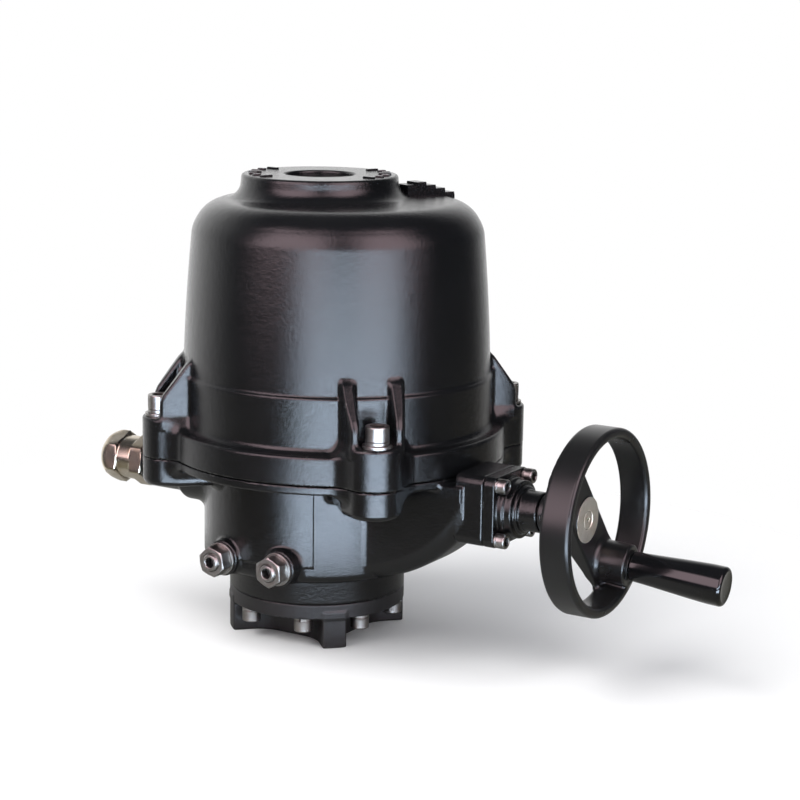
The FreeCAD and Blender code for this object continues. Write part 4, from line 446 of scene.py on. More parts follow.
def wheel_field(p):
    """Handwheel: a rounded rim, one bar across it that thins towards the rim, a hub and the handle's
    leaning boss."""
    x = p[:, 0]
    r, along, side = wheel_places(p)
    half = RIM_THICK / 2
    rim = rounded_box(x - (WHEEL_BACK + WHEEL_FRONT) / 2, r - WHEEL_R + half,
                      (WHEEL_FRONT - WHEEL_BACK) / 2, half, RIM_ROUND)
    share = np.clip((r - HUB_FACE_R) / (WHEEL_R - RIM_THICK - HUB_FACE_R), 0, 1)
    web = cut_round(np.maximum(WEB_BACK + WEB_THINNING * share - x, x - WEB_FRONT), np.abs(side) - WEB_HALF,
                    1.5)
    web = np.maximum(web, r - WEB_REACH)
    cone = np.clip((x - HUB_CONE_START) / HUB_CONE_LENGTH, 0, 1)
    hub = cut_round(r - HUB_R - (HUB_FACE_R - HUB_R) * cone, slab(x, HUB_BACK, HUB_FRONT), 0.8)
    whole = join_round(rim, web, 3.5)
    whole = join_round(whole, hub, 0.6)
    lean = math.radians(HANDLE_SPLAY)
    a, b = x - HANDLE_X, along - HANDLE_CIRCLE
    axial, radial = a * math.cos(lean) + b * math.sin(lean), b * math.cos(lean) - a * math.sin(lean)
    off = np.hypot(radial, side)
    boss = cut_round(off - HANDLE_BOSS_R, axial, 1.2)
    boss = np.maximum(boss, -HANDLE_BOSS_DEEP - axial)
    whole = join_round(whole, boss, 4.0)
    whole = hollow(whole, np.maximum(off - SPINDLE_HOLE_R, -SPINDLE_HOLE_DEEP - axial), 0.3)
    grub_hole = np.maximum(np.hypot(x - GRUB_X, p[:, 2] - SHAFT_Z) - GRUB_HOLE_R, p[:, 1] - SHAFT_Y)
    whole = hollow(whole, grub_hole, 0.3)
    return hollow(whole, r - SHAFT_HOLE_R, 0.3)


# Turned pieces: fasteners, gland, grip and window

FACET_ANGLES = np.radians((-30, -28.4, -26.6, -20, -10, 0, 10, 20, 26.6, 28.4))
KNURL_STEPS = 84


def turned(rows, loop=False, knurl=False):
    """Surface of a turned piece about Z. Each row is height, radius and, for a six-sided part, half its
    width across flats: the surface is the lesser of the radius and the flat, which is half width /
    cos(angle from the flat's middle). A width below 0 is a socket's, and the greater of the two is taken.
    A fourth number is a knurl's depth. Returns points, faces with a repeated corner at the poles, and
    each point's place along the profile, which is below 0 from a socket's wall on."""
    rows = np.array([tuple(row) + (0.0,) * (4 - len(row)) for row in rows])
    if knurl:
        angle = np.arange(KNURL_STEPS) * 2 * np.pi / KNURL_STEPS
    else:
        angle = (np.arange(6)[:, None] * np.pi / 3 + FACET_ANGLES[None, :]).ravel()
    to_flat = (angle + np.pi / 6) % (np.pi / 3) - np.pi / 6
    height, radius, width, groove = rows.T[:, :, None]
    flat = np.abs(width) / np.cos(to_flat)
    reach = np.where(width > 0, np.minimum(radius, flat),
                     np.where(width < 0, np.maximum(radius, flat), radius + 0 * flat))
    reach = reach - groove * (np.arange(len(angle)) % 2)
    points = np.stack([reach * np.cos(angle), reach * np.sin(angle), height + 0 * reach], -1)
    count, steps = len(rows), len(angle)
    index = np.arange(count * steps).reshape(count, steps)
    pole = rows[:, 1] < 1e-6
    index[pole] = index[pole][:, :1]
    upper = np.roll(index, -1, 0) if loop else index[1:]
    lower = index if loop else index[:-1]
    quads = np.stack([lower, np.roll(lower, -1, 1), np.roll(upper, -1, 1), upper], -1).reshape(-1, 4)
    step = np.hypot(np.diff(rows[:, 0]), np.diff(rows[:, 1]))
    place = np.concatenate([[0.0], np.cumsum(step)]) + 0.01
    place = np.where(np.cumsum(width[:, 0] < 0) > 0, -place, place)
    return points.reshape(-1, 3), quads, np.repeat(place, steps)


def split_ring(inner, outer, height, gap=0.16, lift=0.25):
    """Split spring washer: a rounded rectangle carried round the axis, rising a little from one end to
    the other."""
    angle = np.linspace(gap, 2 * np.pi - gap / 3, 49)
    c = 0.22
    section = np.array([(inner + c, 0), (outer - c, 0), (outer, c), (outer, height - c), (outer - c, height),
                        (inner + c, height), (inner, height - c), (inner, c)])
    rise = lift * (angle / (2 * np.pi) - 0.5)
    radius, level = section[None, :, 0] + 0 * angle[:, None], section[None, :, 1] + rise[:, None]
    points = np.stack([radius * np.cos(angle)[:, None], radius * np.sin(angle)[:, None], level], -1)
    steps, sides = len(angle), len(section)
    index = np.arange(steps * sides).reshape(steps, sides)
    a, b = index[:-1], index[1:]
    quads = np.stack([a, b, np.roll(b, -1, 1), np.roll(a, -1, 1)], -1).reshape(-1, 4)
    ends = np.array([[0, 1, 2, 3], [0, 3, 4, 7], [4, 5, 6, 7]])
    quads = np.concatenate([quads, index[0][ends], index[-1][ends][:, ::-1]])
    return points.reshape(-1, 3), quads, np.tile(np.arange(sides) * 1.0, steps)


def round_corners(rows, radius, steps=3):
    """A profile with each inner corner replaced by an arc's few points, as a quadratic curve on the
    corner."""
    done = [rows[0]]
    for before, here, after in zip(rows[:-2], rows[1:-1], rows[2:]):
        a, b, c = (np.array(row[:2], float) for row in (before, here, after))
        cut_a, cut_b = (min(radius, np.hypot(*(end - b)) * 0.45) for end in (a, c))
        start = b + (a - b) / max(np.hypot(*(a - b)), 1e-9) * cut_a
        stop = b + (c - b) / max(np.hypot(*(c - b)), 1e-9) * cut_b
        for t in np.linspace(0, 1, steps):
            place = (1 - t) ** 2 * start + 2 * t * (1 - t) * b + t ** 2 * stop
            done.append((*place, *here[2:]))
    done.append(rows[-1])
    return done


def laid(shape, at, axis, turn=0.0):
    """A shape made about Z, moved to a place with its Z along an axis and turned about it by degrees."""
    points, faces, place = shape
    axis = np.array(axis, float) / np.linalg.norm(axis)
    helper = np.array([0.0, 0.0, 1.0]) if abs(axis[2]) < 0.9 else np.array([1.0, 0.0, 0.0])
    first = np.cross(helper, axis)
    first /= np.linalg.norm(first)
    second = np.cross(axis, first)
    c, s = math.cos(math.radians(turn)), math.sin(math.radians(turn))
    basis = np.stack([c * first + s * second, -s * first + c * second, axis])
    return points @ basis + np.array(at, float), faces, place


def solid_of(name, shapes, body, slot, replaced=None, sharp=38.0):
    """One object from several closed shapes; its points keep their place along the profile for the turning
    marks and for the painted shade in sockets."""
    offset, points, faces, place = 0, [], [], []
    for shape in shapes:
        points.append(shape[0])
        faces.append(shape[1] + offset)
        place.append(shape[2])
        offset += len(shape[0])
    faces = np.concatenate(faces)
    repeated = (faces == np.roll(faces, -1, 1)).any(1)
    corners = [list(dict.fromkeys(face)) for face in faces[repeated].tolist()]
    corners = faces[~repeated].tolist() + [face for face in corners if len(face) > 2]
    mesh = bpy.data.meshes.new(name)
    mesh.from_pydata((np.concatenate(points) * MM).tolist(), [], corners)
    along = mesh.attributes.new("along", "FLOAT", "POINT")
    along.data.foreach_set("value", np.concatenate(place).astype(np.float32))
    mesh.polygons.foreach_set("use_smooth", np.ones(len(mesh.polygons), bool))
    drop_loose_points(mesh)
    mesh.set_sharp_from_angle(angle=math.radians(sharp))
    mesh.update()
    piece = bpy.data.objects.new(name, mesh)
    bpy.context.scene.collection.objects.link(piece)
    weighted = piece.modifiers.new("Even shading", "WEIGHTED_NORMAL")
    weighted.keep_sharp = True
    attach(piece, body)
    PIECE_SLOTS[name] = slot
    if replaced:
        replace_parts(piece, *([replaced] if isinstance(replaced, str) else replaced))
    return piece


def drop_loose_points(mesh):
    """Takes out the unused copies of a pole's point."""
    work = bmesh.new()
    work.from_mesh(mesh)
    bmesh.ops.delete(work, geom=[v for v in work.verts if not v.link_faces], context="VERTS")
    bmesh.ops.recalc_face_normals(work, faces=work.faces)
    work.to_mesh(mesh)
    work.free()


def socket_rows(top, flats, depth):
    """Mouth, walls and bottom of a hexagon socket cut down from a height."""
    half = flats / 2
    return [(top, half * 1.30), (top - 0.12, half * 1.24), (top - half * 0.16, half * 1.155, -half),
            (top - half * 0.3, half * 0.9, -half), (top - depth, half * 0.9, -half),
            (top - depth - 0.01, half * 0.8), (top - depth - half * 0.25, 0)]


def cap_screw(size, head_r, length, flats, depth):
    """Socket head cap screw about Z with its seat at 0: shank, knurled head with rounded rim, and socket."""
    r, top = size / 2, float(size)
    rows = [(-length, 0), (-length, r - 0.6), (-length + 0.6, r), (0, r), (0, head_r - 0.35), (0.35, head_r)]
    rows += [(1.0, head_r), (1.3, head_r, 0, 0.22), (top - 1.7, head_r, 0, 0.22), (top - 1.35, head_r)]
    rows += [(top - 0.8, head_r), (top - 0.35, head_r - 0.16), (top - 0.1, head_r - 0.42),
             (top, head_r - 0.85)]
    return turned(rows + socket_rows(top, flats, depth), knurl=True)


def flat_ring(inner, outer, height, edge=0.3):
    """Plain washer: a rectangle with rounded corners, turned."""
    corners = [(0, inner), (0, outer), (height, outer), (height, inner)]
    rows = round_corners([corners[-1], *corners, corners[0]], edge)[1:-1]
    return turned(rows, loop=True)


def hexagon_rows(low, high, flats, bevel_low=True, bevel_high=True):
    """Side of a six-sided bar whose ends are turned to cones, so that the flats end in arcs."""
    half = flats / 2
    corner, edge = half * 1.125, half * 0.97
    cone = np.array([0, 0.12, 0.28, 0.5, 0.75, 1.0])
    height = (corner - edge) * 0.5
    rows = []
    if bevel_low:
        rows += [(low + height * t, edge + (corner - edge) * t, half) for t in cone]
    else:
        rows += [(low, corner, half)]
    if bevel_high:
        rows += [(high - height * t, edge + (corner - edge) * t, half) for t in cone[::-1]]
    else:
        rows += [(high, corner, half)]
    return rows


def hex_nut(flats, height, bore):
    """Nut about Z with both ends bevelled and a countersunk bore."""
    rows = [(0.5, bore), (0, bore + 0.5), *hexagon_rows(0, height, flats), (height, bore + 0.7),
            (height - 0.7, bore)]
    return turned(rows, loop=True)


def quarter_places(radius, angles, centre=(0.0, 0.0)):
    """Places on a circle at angles in degrees."""
    return [(centre[0] + radius * math.cos(math.radians(a)), centre[1] + radius * math.sin(math.radians(a)))
            for a in angles]


def cover_fasteners():
    """Bolt, spring washer and flat washer in each lug."""
    places = quarter_places(LUG_BOLT_R, [LUG_TURN + 90 * k for k in range(4)], (COVER_X, 0.0))
    up = (0, 0, 1)
    solid_of("lug_bolts", [laid(cap_screw(10, 8.0, 47.0, 8.3, 5.0), (x, y, COVER_BOLT_SEAT), up, 17 * i)
                           for i, (x, y) in enumerate(places)], "housing", "stainless", "cover_bolts")
    solid_of("lug_spring_washers", [laid(split_ring(5.2, 8.0, 2.45), (x, y, COVER_SPRING_SEAT), up,
                                         40 + 95 * i) for i, (x, y) in enumerate(places)],
             "housing", "stainless", "cover_lock_washers")
    solid_of("lug_flat_washers", [laid(flat_ring(5.3, 10.0, 1.95), (x, y, LUG_SEAT + 0.02), up)
                                  for x, y in places], "housing", "stainless", "cover_flat_washers")


def base_fasteners():
    """Eight screws up through the base's ring, with their spring washers."""
    angles = [quarter + side * BASE_SCREW_SPREAD for quarter in (0, 90, 180, 270) for side in (-1, 1)]
    places = quarter_places(BASE_SCREW_R, angles)
    down = (0, 0, -1)
    solid_of("base_ring_screws", [laid(cap_screw(8, 6.5, 25.9, 6.64, 4.0), (x, y, BASE_SCREW_SEAT), down,
                                       23 * i) for i, (x, y) in enumerate(places)],
             "housing", "stainless", "base_screws")
    solid_of("base_spring_washers", [laid(split_ring(4.2, 6.5, 1.95), (x, y, BASE_SPRING_SEAT), down, 75 * i)
                                     for i, (x, y) in enumerate(places)], "housing", "stainless",
             "base_lock_washers")


def cap_fasteners():
    """Four screws of the shaft cap, with their spring washers."""
    places = [(sy * CAP_SCREW_OUT + SHAFT_Y, sz * CAP_SCREW_OUT + SHAFT_Z)
              for sy in (-1, 1) for sz in (-1, 1)]
    out = (1, 0, 0)
    solid_of("cap_socket_screws", [laid(cap_screw(6, 5.0, 17.9, 4.98, 3.0), (CAP_SCREW_SEAT, y, z), out,
                                        31 * i)
                                   for i, (y, z) in enumerate(places)], "housing", "stainless", "cap_screws")
    solid_of("cap_spring_washers", [laid(split_ring(3.1, 5.0, 1.45), (CAP_SPRING_SEAT, y, z), out, 120 * i)
                                    for i, (y, z) in enumerate(places)], "housing", "stainless",
             "cap_lock_washers")


def stop_set():
    """Nut, sealing washer and threaded screw of each end stop."""
    out = (0, -1, 0)
    places = [(side * STOP_X, -STOP_BOSS_END, STOP_Z) for side in (-1, 1)]
    solid_of("stop_lock_nuts", [laid(hex_nut(19.0, 10.0, 6.06), (x, y - 2.5, z), out, turn)
                                for (x, y, z), turn in zip(places, (12, 3))], "housing", "stainless",
             "stop_nuts")
    solid_of("stop_sealing_washers", [laid(flat_ring(6.3, 11.5, 2.45, 0.5), (x, y - 0.03, z), out)
                                      for x, y, z in places], "housing", "stainless", "stop_seal_washers")
    pitch, start, end = 1.75, 22.3, 98.5
    crests = np.arange(end - 1.2, 80.0, -pitch / 2)[::-1]
    for name, node, (x, y, z) in (("stop_rod_left", "stop_screw_left", places[0]),
                                  ("stop_rod_right", "stop_screw_right", places[1])):
        rows = [(start, 0), (start, 5.4), (start + 0.6, 6.0), (79.0, 6.0)]
        rows += [(float(place), 6.0 if i % 2 else 5.45) for i, place in enumerate(crests)]
        rows += [(end - 0.9, 5.9), (end - 0.15, 5.2), (end, 4.9)]
        body = name.replace("stop_rod_", "") + "_stop"
        solid_of(name, [laid(turned(rows + socket_rows(end, 6.0, 6.0)), (x, 0, z), out, 20)], body,
                 "stainless", node)


def arc_rows(start, end, radius, half, steps=9):
    """Rows along an arc of a radius that bulges outward from one place of the profile to another."""
    a, b = np.array(start, float), np.array(end, float)
    chord = b - a
    length = np.hypot(*chord)
    outward = np.array([-chord[1], chord[0]]) / length
    outward *= np.sign(outward[1])
    centre = (a + b) / 2 - outward * math.sqrt(radius ** 2 - (length / 2) ** 2)
    first, last = (math.atan2(*(end - centre)[::-1]) for end in (a, b))
    angle = np.linspace(first, last, steps)
    return [(centre[0] + radius * math.cos(t), centre[1] + radius * math.sin(t), half) for t in angle]


def entries():
    """Cable gland with its domed cap nut and rubber, and the plug in the other entry."""
    out = (-1, 0, 0)
    gland_at, plug_at = (0.0, -ENTRY_Y, ENTRY_Z), (0.0, ENTRY_Y, ENTRY_Z)
    rows = [(102.5, 0), (102.5, 11.5), (115.05, 11.5), *hexagon_rows(115.05, 126.5, 33.0),
            (126.5, 13.0), (138, 13.0), (138, 0)]
    solid_of("gland_body_hex", [laid(turned(rows), gland_at, out, 8)], "housing", "nickel", "gland_body")
    half = 16.5
    corner = half / math.cos(math.radians(30))
    rows = [(127.0, 13.1),
            *round_corners([(127.0, 13.1), (127.0, 15.8), (138.0, 15.8), (138.0, 16.2)], 0.7)[1:-1],
            (138.0, 16.3, half), (138.35, 16.9, half), (138.8, 17.7, half), (139.3, corner * 0.985, half),
            (144.6, corner * 0.985, half), *arc_rows((145.0, corner * 0.985), (155.5, 10.9), 15.0, half)[1:],
            (155.5, 10.2), (155.1, 9.5), (143.0, 9.5), (143.0, 13.1)]
    solid_of("gland_cap_nut", [laid(turned(rows, loop=True), gland_at, out, 8)], "housing", "nickel",
             "gland_nut")
    rows = [(142.5, 6.6), (142.5, 9.35), (153.6, 9.35), (154.0, 8.9), (154.0, 7.4), (153.3, 6.6)]
    solid_of("gland_rubber", [laid(turned(rows, loop=True), gland_at, out)], "housing", "seal_rubber",
             "gland_seal")
    rows = [(102.5, 0), (102.5, 11.5), (115.05, 11.5), *hexagon_rows(115.05, 122.0, 33.0)]
    solid_of("entry_blank", [laid(turned(rows + socket_rows(122.0, 12.5, 3.5)), plug_at, out, 11)], "housing",
             "nickel", "entry_plug")


def handle_set():
    """Grip, washer and spindle on the handle's leaning axis, the hub's bare front face, and its set screw."""
    turn, lean = math.radians(WHEEL_TURN), math.radians(HANDLE_SPLAY)
    spoke = np.array([0.0, math.cos(turn), math.sin(turn)])
    at = np.array([HANDLE_X, SHAFT_Y, SHAFT_Z]) + HANDLE_CIRCLE * spoke
    axis = np.array([math.cos(lean), 0, 0]) + math.sin(lean) * spoke
    length = 65.0
    share, quarter = np.linspace(0.02, 1, 12), np.linspace(0, math.pi / 2, 7)
    taper = [(t * 55.0, 9.9 + 3.4 * (3 * t ** 2 - 2 * t ** 3) * 0.35 + 3.4 * t * 0.65) for t in share]
    bead = [(length - 2.5 + 2.5 * math.sin(t), 10.8 + 2.5 * math.cos(t)) for t in quarter]
    rows = [(0.4, 0.0), (0.4, 4.3), (0.0, 4.9), (0.0, 9.2), (0.35, 9.75), *taper, (60.0, 13.3), *bead,
            (length, 10.2), (length - 0.25, 9.6), (length - 0.35, 5.0), (length - 0.35, 0)]
    solid_of("crank_grip", [laid(turned(rows), at + 1.8 * axis, axis)], "grip", "grip_plastic", "handle_grip",
             60)
    solid_of("grip_washer", [laid(flat_ring(4.1, 10.4, 1.5, 0.25), at + 0.05 * axis, axis)], "hand_drive",
             "wheel_coat", "handle_washer")
    rows = [(-12.0, 0), (-12.0, 3.5), (-11.5, 4.0), (48.2, 4.0), (48.2, 5.7), (48.6, 6.0),
            (50.8, 6.0), (51.2, 5.6), (51.2, 0)]
    solid_of("grip_spindle", [laid(turned(rows), at, axis)], "hand_drive", "stainless", "handle_spindle")
    rows = [(221.6, 0), (221.9, 0.6), (222.9, 1.7), (223.1, 2.0), (223.1, 5.3), (222.85, 5.8), (222.7, 6.1),
            (223.1, 6.6), (223.1, 14.7), (222.8, 15.3), (222.0, 15.3), (222.0, 0)]
    solid_of("hub_face", [laid(turned(rows), (0, SHAFT_Y, SHAFT_Z), (1, 0, 0))], "hand_drive", "gear_steel")
    rows = [(6.1, 0), (6.1, 2.0), (6.6, 2.5), (12.3, 2.5), (12.7, 2.1), *socket_rows(12.75, 2.5, 2.4)]
    solid_of("hub_grub", [laid(turned(rows), (GRUB_X, SHAFT_Y, SHAFT_Z), (0, -1, 0))], "hand_drive",
             "stainless", "hub_set_screw")


def window_set():
    """Lens, its seal and the dial with plain tick marks and a pointer."""
    up = (0, 0, 1)
    rows = [(314.3, 0), (314.3, 27.4), (314.7, 27.9), (317.0, 27.9), (317.4, 27.4),
            (317.5, 24.0), (317.55, 12.0), (317.6, 0)]
    solid_of("window_glass", [laid(turned(rows), (0, 0, 0), up)], "housing", "lens", "window_lens", 50)
    rows = [(317.62, 23.4), (318.4, 23.1), (318.45, 27.8), (317.6, 27.8)]
    solid_of("window_gasket", [laid(turned(rows, loop=True), (0, 0, 0), up)], "housing", "seal_rubber",
             "window_seal")
    rows = [(310.0, 0), (310.0, 21.4), (310.4, 22.0), (311.2, 22.0), (311.7, 21.4), (311.5, 20.6), (311.5, 0)]
    solid_of("dial_disc", [laid(turned(rows), (0, 0, 0), up)], "output", "dial", "indicator_dial")
    ticks = [bar(19.0, 2.6 if angle % 30 == 0 else 1.6, 0.45, angle, DIAL_TOP, 0.14)
             for angle in range(0, 360, 10)]
    arrow = tapered_bar(2.0, 14.5, 6.4, 0.6, 90.0, DIAL_TOP, 0.2)
    tail = tapered_bar(-14.5, 2.0, 2.2, 2.2, 90.0, DIAL_TOP, 0.2)
    solid_of("dial_marks", [*ticks, arrow, tail], "output", "dial")


def block(corners, low, high):
    """A flat-topped block over a four-cornered plan, with its upper rim drawn in a little."""
    corners = np.array(corners, float)
    middle = corners.mean(0)
    inset = middle + (corners - middle) * (1 - 0.35 / np.maximum(np.abs(corners - middle).max(), 1.0))
    rim = (high - low) * 0.25
    layers = [np.column_stack([plan, np.full(4, level)])
              for plan, level in ((corners, low), (corners, high - rim), (inset, high))]
    sides = [[k, (k + 1) % 4, 4 + (k + 1) % 4, 4 + k] for k in range(4)]
    sides += [[4 + k, 4 + (k + 1) % 4, 8 + (k + 1) % 4, 8 + k] for k in range(4)]
    faces = np.array([[3, 2, 1, 0], *sides, [8, 9, 10, 11]])
    return np.concatenate(layers), faces, np.zeros(12)


def tapered_bar(start, end, wide_start, wide_end, angle, low, height):
    """A block along a direction from the output axis that changes its width from start to end."""
    c, s = math.cos(math.radians(angle)), math.sin(math.radians(angle))
    plan = [(start, -wide_start / 2), (end, -wide_end / 2), (end, wide_end / 2), (start, wide_start / 2)]
    return block([(u * c - v * s, u * s + v * c) for u, v in plan], low, low + height)


def bar(middle, length, width, angle, low, height):
    """A block of one width across a direction from the output axis."""
    return tapered_bar(middle - length / 2, middle + length / 2, width, width, angle, low, height)


# Ticks on the boss, and the ridge beside it
SCALE_MIDDLES, TICK_PITCH, TICK_OUTER, TICK_WIDE = (-150.0, 30.0), 13.0, 49.5, 2.6
RIDGE_AT, RIDGE_TURN, RIDGE_STEP = (51.0, 59.0), 68.0, 8.8
RIDGE_TOPS, RIDGE_BOTTOM = (316.0, 317.5, 315.0, 312.4, 309.2), 300.0


def boss_scale():
    """Raised plain ticks on the boss, a quarter turn on each side of the window, and a stepped ridge of
    pads on the cover beside it."""
    ticks = []
    for middle in SCALE_MIDDLES:
        for step in range(-3, 4):
            long = 9.0 if step % 3 == 0 else 5.5
            ticks.append(bar(TICK_OUTER - long / 2, long, TICK_WIDE, middle + TICK_PITCH * step,
                             BOSS_TOP - 0.3, 1.5))
    c, s = math.cos(math.radians(RIDGE_TURN)), math.sin(math.radians(RIDGE_TURN))
    for step, top in enumerate(RIDGE_TOPS):
        along = (step - 2) * RIDGE_STEP
        u, v = RIDGE_AT[0] + along * c, RIDGE_AT[1] + along * s
        half, long = RIDGE_STEP * 0.47, 7.0 - 0.6 * step
        plan = [(u + a * c - b * s, v + a * s + b * c) for a, b in
                ((-half, -long), (half, -long), (half, long), (-half, long))]
        ticks.append(block(plan, RIDGE_BOTTOM, top))
    return solid_of("cover_raised_marks", ticks, "housing", "housing_coat", sharp=30)


# Net steps of large and of small castings
STEP = 1.25
FINE = 0.85

# Name, field, low and high corner of the space it fills, net step, body, slot, share of faces kept, node
CASTINGS = (
    ("cover_shell", cover_field, (-126, -142, 129), (156, 142, 328), STEP, "housing", "housing_coat", 0.5,
     "cover"),
    ("gear_housing", body_field, (-120, -142, 28), (162, 142, 135), STEP, "housing", "housing_coat", 0.55,
     "body_casting"),
    ("valve_base", base_field, (-66, -66, -3), (66, 66, 35), FINE, "housing", "base_coat", 0.5,
     "mounting_base"),
    ("hand_wheel", wheel_field, (188, -84, 48), (247, 48, 180), FINE, "hand_drive", "wheel_coat", 0.5,
     "handwheel"),
    ("shaft_end_cap", cap_field, (154, -46, 86), (194, 10, 141), FINE * 0.8, "housing", "housing_coat", 0.5,
     "shaft_cap"),
)
for *casting, node_name in CASTINGS:
    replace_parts(cast_piece(*casting), node_name)
cover_fasteners()
base_fasteners()
cap_fasteners()
stop_set()
entries()
handle_set()
window_set()
boss_scale()


# Node helpers

def add(tree, kind, inputs=None, **settings):
    """A node with its settings and inputs; an input is a value or the socket that feeds it."""
    made = tree.nodes.new(kind)
    for key, value in settings.items():
        setattr(made, key, value)
    for key, value in (inputs or {}).items():
        if isinstance(value, bpy.types.NodeSocket):
            tree.links.new(value, made.inputs[key])
        else:
            made.inputs[key].default_value = value
    return made


def maths(tree, operation, *values, clamp=False):
    """Output of a maths node on values or sockets."""
    made = add(tree, "ShaderNodeMath", dict(enumerate(values)), operation=operation, use_clamp=clamp)
    return made.outputs[0]


def ramp(tree, value, low, high, out_low=0.0, out_high=1.0):
    """Smooth step of a value from low to high."""
    made = add(tree, "ShaderNodeMapRange",
               {"Value": value, "From Min": low, "From Max": high, "To Min": out_low, "To Max": out_high},
               interpolation_type="SMOOTHSTEP")
    return made.outputs["Result"]


def blend_colour(tree, share, first, second):
    """Colour between two, by a share from 0 to 1."""
    made = add(tree, "ShaderNodeMix", data_type="RGBA")
    for index, value in ((0, share), (6, first), (7, second)):
        if isinstance(value, bpy.types.NodeSocket):
            tree.links.new(value, made.inputs[index])
        else:
            made.inputs[index].default_value = value
    return made.outputs[2]


def noise(tree, place, scale, detail=2.0, roughness=0.5):
    """Noise in three dimensions, with its scale per metre."""
    made = add(tree, "ShaderNodeTexNoise", {"Vector": place, "Scale": scale, "Detail": detail,
                                            "Roughness": roughness})
    return made.outputs["Fac"]


def group(name, inputs, outputs):
    """An empty node group with number sockets, and its two end nodes."""
    tree = bpy.data.node_groups.new(name, "ShaderNodeTree")
    for key, value in inputs.items():
        socket = tree.interface.new_socket(key, in_out="INPUT", socket_type="NodeSocketFloat")
        socket.default_value = value
    for key in outputs:
        tree.interface.new_socket(key, in_out="OUTPUT", socket_type="NodeSocketFloat")
    return tree, tree.nodes.new("NodeGroupInput").outputs, tree.nodes.new("NodeGroupOutput").inputs


def object_place(tree):
    """Place on the piece in metres."""
    return tree.nodes.new("ShaderNodeTexCoord").outputs["Object"]


# Effects that several finishes share

def coat_peel_group():
    """Powder coat's orange peel: two soft noises for the waves and one for fine speckle, with a slow
    change of gloss."""
    tree, given, out = group("coat_peel", {"Size mm": 2.4, "Speckle": 0.25}, ("Height", "Gloss"))
    place = object_place(tree)
    scale = maths(tree, "DIVIDE", 1000.0, given["Size mm"])
    wave = noise(tree, place, scale, 1.0)
    wide = noise(tree, place, maths(tree, "MULTIPLY", scale, 0.37), 1.0)
    fine = noise(tree, place, maths(tree, "MULTIPLY", scale, 3.6), 2.0)
    height = maths(tree, "ADD", maths(tree, "MULTIPLY", wave, 0.6), maths(tree, "MULTIPLY", wide, 0.5))
    height = maths(tree, "ADD", height, maths(tree, "MULTIPLY", fine, given["Speckle"]))
    tree.links.new(height, out["Height"])
    tree.links.new(noise(tree, place, 28.0, 3.0), out["Gloss"])
    return tree


def rubbed_edges_group():
    """Where handling has rubbed a coat: the piece's own edge attribute, broken up by noise."""
    tree, given, out = group("rubbed_edges", {"Amount": 0.5}, ("Mask",))
    edge = add(tree, "ShaderNodeAttribute", attribute_name="edge").outputs["Fac"]
    place = object_place(tree)
    patches = ramp(tree, noise(tree, place, 55.0, 4.0, 0.65), 0.50, 0.66)
    specks = ramp(tree, noise(tree, place, 420.0, 3.0, 0.7), 0.46, 0.60)
    mask = maths(tree, "MULTIPLY", maths(tree, "MULTIPLY", ramp(tree, edge, 0.25, 0.8), patches), specks)
    tree.links.new(maths(tree, "MULTIPLY", mask, given["Amount"], clamp=True), out["Mask"])
    return tree


def settled_dust_group():
    """Fine dust on faces that look up, uneven at two sizes."""
    tree, given, out = group("settled_dust", {"Amount": 0.3}, ("Mask",))
    up = add(tree, "ShaderNodeSeparateXYZ",
             {0: tree.nodes.new("ShaderNodeNewGeometry").outputs["Normal"]}).outputs[2]
    place = object_place(tree)
    clouds = ramp(tree, noise(tree, place, 18.0, 4.0, 0.6), 0.35, 0.75)
    mask = maths(tree, "MULTIPLY", ramp(tree, up, 0.55, 0.98), clouds)
    tree.links.new(maths(tree, "MULTIPLY", mask, given["Amount"], clamp=True), out["Mask"])
    return tree


def turning_marks_and_socket_shade_group():
    """Fine lathe grooves as noise in one dimension along the turned profile, a slow stain, and the sockets
    masked for painted shade.
    """
    tree, given, out = group("turning_marks_and_socket_shade", {"Per mm": 5.0}, ("Height", "Streak", "Socket shade"))
    along = add(tree, "ShaderNodeAttribute", attribute_name="along").outputs["Fac"]
    dial = maths(tree, "MULTIPLY", along, given["Per mm"])
    fine = add(tree, "ShaderNodeTexNoise", {"W": dial, "Scale": 1.0, "Detail": 3.0}, noise_dimensions="1D")
    tree.links.new(fine.outputs["Fac"], out["Height"])
    # Socket walls and bottoms (place below 0) as a mask for painted shade, where little light gets in
    tree.links.new(maths(tree, "LESS_THAN", along, 0.0), out["Socket shade"])
    tree.links.new(noise(tree, object_place(tree), 90.0, 3.0, 0.6), out["Streak"])
    return tree


def cast_grain_group():
    """Sand-cast skin under a matt coat: small pits between grains, over a low swell."""
    tree, given, out = group("cast_grain", {"Grain mm": 0.9}, ("Height",))
    place = object_place(tree)
    scale = maths(tree, "DIVIDE", 1000.0, given["Grain mm"])
    grains = noise(tree, place, scale, 3.0, 0.6)
    pits = add(tree, "ShaderNodeTexVoronoi", {"Vector": place, "Scale": maths(tree, "MULTIPLY", scale, 0.8)})
    height = maths(tree, "ADD", grains, maths(tree, "MULTIPLY", pits.outputs["Distance"], 0.4))
    height = maths(tree, "ADD", height, maths(tree, "MULTIPLY", noise(tree, place, 160.0, 1.0), 0.8))
    tree.links.new(height, out["Height"])
    return tree


PEEL, RUBBED, DUST = coat_peel_group(), rubbed_edges_group(), settled_dust_group()
TURNING_AND_SOCKET_SHADE, GRAIN = turning_marks_and_socket_shade_group(), cast_grain_group()


# Finishes

def effect(tree, made, **inputs):
    """Outputs of a shared effect's group, with its number inputs set; _ in a name stands for a space."""
    node = tree.nodes.new("ShaderNodeGroup")
    node.node_tree = made
    for key, value in inputs.items():
        node.inputs[key.replace("_", " ")].default_value = value
    return node.outputs


def finish(name, **plain):
    """A material with its shader's plain numbers set, and its tree and shader to add the rest."""
    made = bpy.data.materials.new(name)
    made.use_nodes = True
    shader = made.node_tree.nodes["Principled BSDF"]
    for key, value in plain.items():
        shader.inputs[key.replace("_", " ")].default_value = value
    return made, made.node_tree, shader


